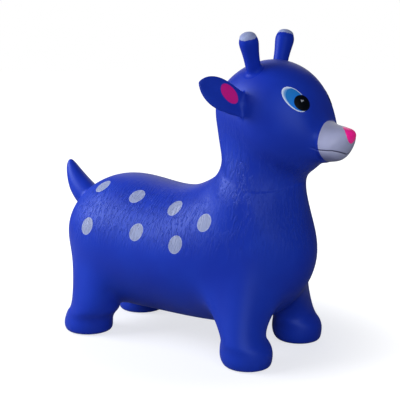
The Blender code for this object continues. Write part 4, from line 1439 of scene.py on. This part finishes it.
class BOUNCY_OT_eyes(bpy.types.Operator):
    """Lay the paint of the two eyes on the head"""

    bl_idname = "bouncy.eyes"
    bl_label = "Eyes"

    def execute(self, context):
        f = sizes("face")
        skin = skin_at(sizes("body").muzzle_levels)
        head = landmarks()[2]
        layers = (("eye_white", eye_white_share, f.eye_white_length, f.eye_white_width, 0.0, "eye_pale"),
                  ("iris", iris_share, f.iris_length, f.iris_width, 0.0, "iris_blue"),
                  ("pupil", pupil_share, f.pupil_length, f.pupil_width, f.pupil_turn, "pupil_black"),
                  ("eye_glint", glint_share, f.glint_length, f.glint_width, f.glint_turn, "glint_grey"))
        for word, side in SIDES:
            white = film_seat(skin, head, on_head(eye_white_share, side), side, f.eye_tilt)
            place, _, along, across = white
            for number, (name, shares, long, wide, turn, slot) in enumerate(layers, 1):
                seat, _ = skin.seat(head, on_head(shares, side))
                centre = ((seat - place).dot(along), (seat - place).dot(across))
                outline = [(u, -side * v) for u, v in eye_outline(name, centre, long, wide, turn)]
                if side > 0:
                    outline.reverse()
                film = make_films("%s_%s_paint" % (word, name), bpy.data.objects["body_skin"], outline,
                                  [white[:3]], number * SHEET_LIFT, eye_paint(name))
                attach(film, "torso")
                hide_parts("%s_%s" % (word, name))
        return {"FINISHED"}


def eye_outline(name, centre, long, wide, turn):
    """The outline of one layer of the eye, along and across the whole eye and from its middle."""
    f = sizes("face")
    iris_limits = f.eye_white_length * f.iris_margin, f.eye_white_width * f.iris_margin
    outline = []
    for step in range(EYE_SIDES):
        around = math.tau * step / EYE_SIDES
        direction = (math.cos(around), math.sin(around))
        reach = ray_to_oval((0.0, 0.0), (math.cos(around - turn), math.sin(around - turn)), long, wide)
        if name == "iris":
            reach = min(reach, ray_to_oval(centre, direction, *iris_limits))
        if name == "eye_glint":
            # The light mark is an oval with three soft corners.
            reach *= 0.72 + 0.28 * math.cos(3 * (around - turn))
        outline.append((centre[0] + reach * direction[0], centre[1] + reach * direction[1]))
    return outline


class BOUNCY_OT_spots(bpy.types.Operator):
    """Lay the fourteen pale spots on the flanks"""

    bl_idname = "bouncy.spots"
    bl_label = "Spots"

    def execute(self, context):
        b, f = sizes("body"), sizes("face")
        skin = skin_at(b.muzzle_levels)
        torso = landmarks()[0]
        seats = []
        for _, side in SIDES:
            for along, degrees in spot_shares:
                start = torso + point(along * b.torso_length, spot_height_share * b.torso_depth)
                turn = math.radians(degrees)
                direction = Vector((0, side * math.cos(turn), math.sin(turn)))
                seats.append(film_seat(skin, start, direction, side, f.spot_tilt)[:3])
        spots = make_films("spots", bpy.data.objects["body_skin"], oval(f.spot_length, f.spot_width), seats,
                           SHEET_LIFT, pale_spot(), wobble=SPOT_WOBBLE, seed=f.wobble_seed)
        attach(spots, "torso")
        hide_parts(*["%s_spot_%d" % (word, n) for word, _ in SIDES
                             for n in range(1, len(spot_shares) + 1)])
        return {"FINISHED"}


class BOUNCY_OT_valve(bpy.types.Operator):
    """Turn the air valve under the belly and its stopper"""

    bl_idname = "bouncy.valve"
    bl_label = "Air valve"

    def execute(self, context):
        s = sizes("limbs")
        slack, plate = 0.0003, 0.0015
        low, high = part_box("valve_bush")
        centre = (low + high) / 2
        foot, top = low.z, high.z
        flange, bore = s.valve_flange, s.valve_bore
        neck = s.valve_hole - slack
        seat = foot + plate
        # Both profiles round their corners by less than a millimetre.
        bush = [(neck - 0.0008, top), (neck, top - 0.0008), (neck, seat + 0.0006), (neck + 0.0006, seat),
                (flange - 0.0005, seat), (flange, seat - 0.0004), (flange, foot + 0.0006),
                (flange - 0.0006, foot), (bore + 0.0008, foot), (bore, foot + 0.0008), (bore, top - 0.0005),
                (bore + 0.0005, top)]
        made = turned("valve_insert", bush, centre, True)
        made.data.materials.append(valve_plastic())
        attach(made, "torso")
        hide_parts("valve_bush")
        low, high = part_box("stopper")
        foot, top, head = low.z, high.z, s.stopper_head
        shank = bore - slack
        plug = [(0, top), (shank * 0.7, top), (shank, top - 0.0016), (shank, top - 0.0030),
                (shank - 0.0006, top - 0.0034), (shank - 0.0006, foot + 0.0042), (shank, foot + 0.0036),
                (shank, foot + 0.0024), (shank + 0.0004, foot + 0.0020), (head - 0.0006, foot + 0.0020),
                (head, foot + 0.0014), (head, foot + 0.0007), (head - 0.0007, foot), (head * 0.62, foot),
                (head * 0.56, foot + 0.0005), (0, foot + 0.0006)]
        centre = (low + high) / 2
        made = turned("valve_stopper", plug, centre, False)
        made.data.materials.append(valve_plastic())
        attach(made, "stopper")
        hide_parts("stopper")
        return {"FINISHED"}


def turned(name, profile, centre, closed):
    """A turned piece from radii and heights above the floor."""
    mesh = bpy.data.meshes.new(name)
    edges = [(i, i + 1) for i in range(len(profile) - 1)]
    if closed:
        edges.append((len(profile) - 1, 0))
    mesh.from_pydata([(r, 0, z) for r, z in profile], edges, [])
    made = linked(name, mesh)
    screw = made.modifiers.new("Screw", "SCREW")
    screw.steps = screw.render_steps = TURNED_SIDES
    screw.use_merge_vertices = True
    screw.merge_threshold = MERGE_DISTANCE
    plain_mesh(made)
    face_outwards(made.data)
    made.data.transform(Matrix.Translation((centre.x, centre.y, 0)))
    made.data.shade_smooth()
    made.data.set_sharp_from_angle(angle=math.radians(SHARP_DEGREES))
    return made


class BOUNCY_OT_stage(bpy.types.Operator):
    """Set up the floor, the lamps, the even light and the camera"""

    bl_idname = "bouncy.stage"
    bl_label = "Studio"

    def execute(self, context):
        s = sizes("studio")
        scene = context.scene
        scene.view_settings.view_transform = "Standard"
        target = Vector((s.target_x, 0, s.target_z))
        back = Vector((math.sin(s.azimuth) * math.cos(s.elevation),
                       -math.cos(s.azimuth) * math.cos(s.elevation), math.sin(s.elevation)))
        camera = linked("camera", bpy.data.cameras.new("camera"))
        camera.location = target + back * s.distance
        camera.rotation_euler = (-back).to_track_quat("-Z", "Y").to_euler()
        camera.data.sensor_width = 36.0
        camera.data.lens = camera.data.sensor_width * s.focal_px / PICTURE_WIDTH
        scene.camera = camera
        bpy.ops.mesh.primitive_circle_add(vertices=96, radius=6.0, fill_type="NGON", location=(0, 0, -0.0005))
        floor = context.object
        floor.name = "floor"
        floor.data.materials.append(floor_material())
        ahead = -Vector((back.x, back.y, 0)).normalized()
        right = ahead.cross(Vector((0, 0, 1)))
        # Each lamp's place to the right of, beyond and above the target, its width, height and power.
        for name, beside, beyond, above, wide, high, power in (
                ("key_lamp", -1.33, 0.0, 0.72, 1.2, 0.75, s.key_power),
                ("front_lamp", 0.4, -2.0, 0.9, 1.7, 1.7, s.fill_power),
                ("back_lamp", 0.2, 1.7, 0.9, 1.6, 1.6, s.back_power)):
            place = target + ahead * beyond + right * beside + Vector((0, 0, above))
            add_lamp(name, place, target, wide, high, power)
        scene.world = studio_world(s.sky)
        return {"FINISHED"}


def add_lamp(name, place, target, wide, high, power):
    """A soft lamp that faces the object."""
    data = bpy.data.lights.new(name, "AREA")
    data.shape = "RECTANGLE"
    data.size = wide
    data.size_y = high
    data.energy = power
    made = linked(name, data)
    made.location = place
    made.rotation_euler = (target - place).to_track_quat("-Z", "Y").to_euler()


def studio_world(strength):
    """Even light from all round, with a white backdrop where the camera looks."""
    world = bpy.data.worlds.new("studio")
    world.use_nodes = True
    tree = world.node_tree
    light = tree.nodes["Background"]
    fill_socket(tree, light.inputs["Color"], (0.93, 0.96, 1.0, 1))
    fill_socket(tree, light.inputs["Strength"], strength)
    rays = tree_node(tree, "ShaderNodeLightPath").outputs
    seen = tree_node(tree, "ShaderNodeMath", {"operation": "MAXIMUM"},
                     {0: rays["Is Camera Ray"], 1: rays["Is Transmission Ray"]})
    backdrop = tree_node(tree, "ShaderNodeBackground", None, {"Color": (1, 1, 1, 1), "Strength": 1.0})
    both = tree_node(tree, "ShaderNodeMixShader", None,
                     {0: seen.outputs[0], 1: light.outputs[0], 2: backdrop.outputs[0]})
    fill_socket(tree, tree.nodes["World Output"].inputs[0], both.outputs[0])
    return world


OPERATORS = (BOUNCY_OT_skin, BOUNCY_OT_horns, BOUNCY_OT_ears, BOUNCY_OT_tail, BOUNCY_OT_nose,
             BOUNCY_OT_eyes, BOUNCY_OT_spots, BOUNCY_OT_valve, BOUNCY_OT_stage)
GROUPS = (("body", AnimalBodySizes), ("limbs", AnimalLimbSizes), ("face", AnimalFaceSizes),
          ("finish", AnimalFinish), ("studio", AnimalStudio))


class BOUNCY_PT_panel(bpy.types.Panel):
    """Lists the pieces of the animal"""

    bl_idname = "BOUNCY_PT_panel"
    bl_label = "Bouncy animal"
    bl_space_type = "VIEW_3D"
    bl_region_type = "UI"
    bl_category = "Bouncy animal"

    def draw(self, context):
        for operator in OPERATORS:
            self.layout.operator(operator.bl_idname)
        for name, group in GROUPS:
            box = self.layout.box()
            box.label(text=name.capitalize())
            for key in group.__annotations__:
                box.prop(sizes(name), key)


def register():
    """Register the property groups, the operators and the panel."""
    for name, group in GROUPS:
        bpy.utils.register_class(group)
        setattr(bpy.types.Scene, "bouncy_" + name, PointerProperty(type=group))
    for operator in OPERATORS:
        bpy.utils.register_class(operator)
    bpy.utils.register_class(BOUNCY_PT_panel)


def unregister():
    """Take everything out again."""
    bpy.utils.unregister_class(BOUNCY_PT_panel)
    for operator in reversed(OPERATORS):
        bpy.utils.unregister_class(operator)
    for name, group in reversed(GROUPS):
        delattr(bpy.types.Scene, "bouncy_" + name)
        bpy.utils.unregister_class(group)


def main():
    """Make the whole animal and its studio."""
    register()
    bpy.ops.bouncy.skin()
    bpy.ops.bouncy.horns()
    bpy.ops.bouncy.ears()
    bpy.ops.bouncy.tail()
    bpy.ops.bouncy.nose()
    bpy.ops.bouncy.eyes()
    bpy.ops.bouncy.spots()
    bpy.ops.bouncy.valve()
    bpy.ops.bouncy.stage()


if __name__ == "__main__":
    main()
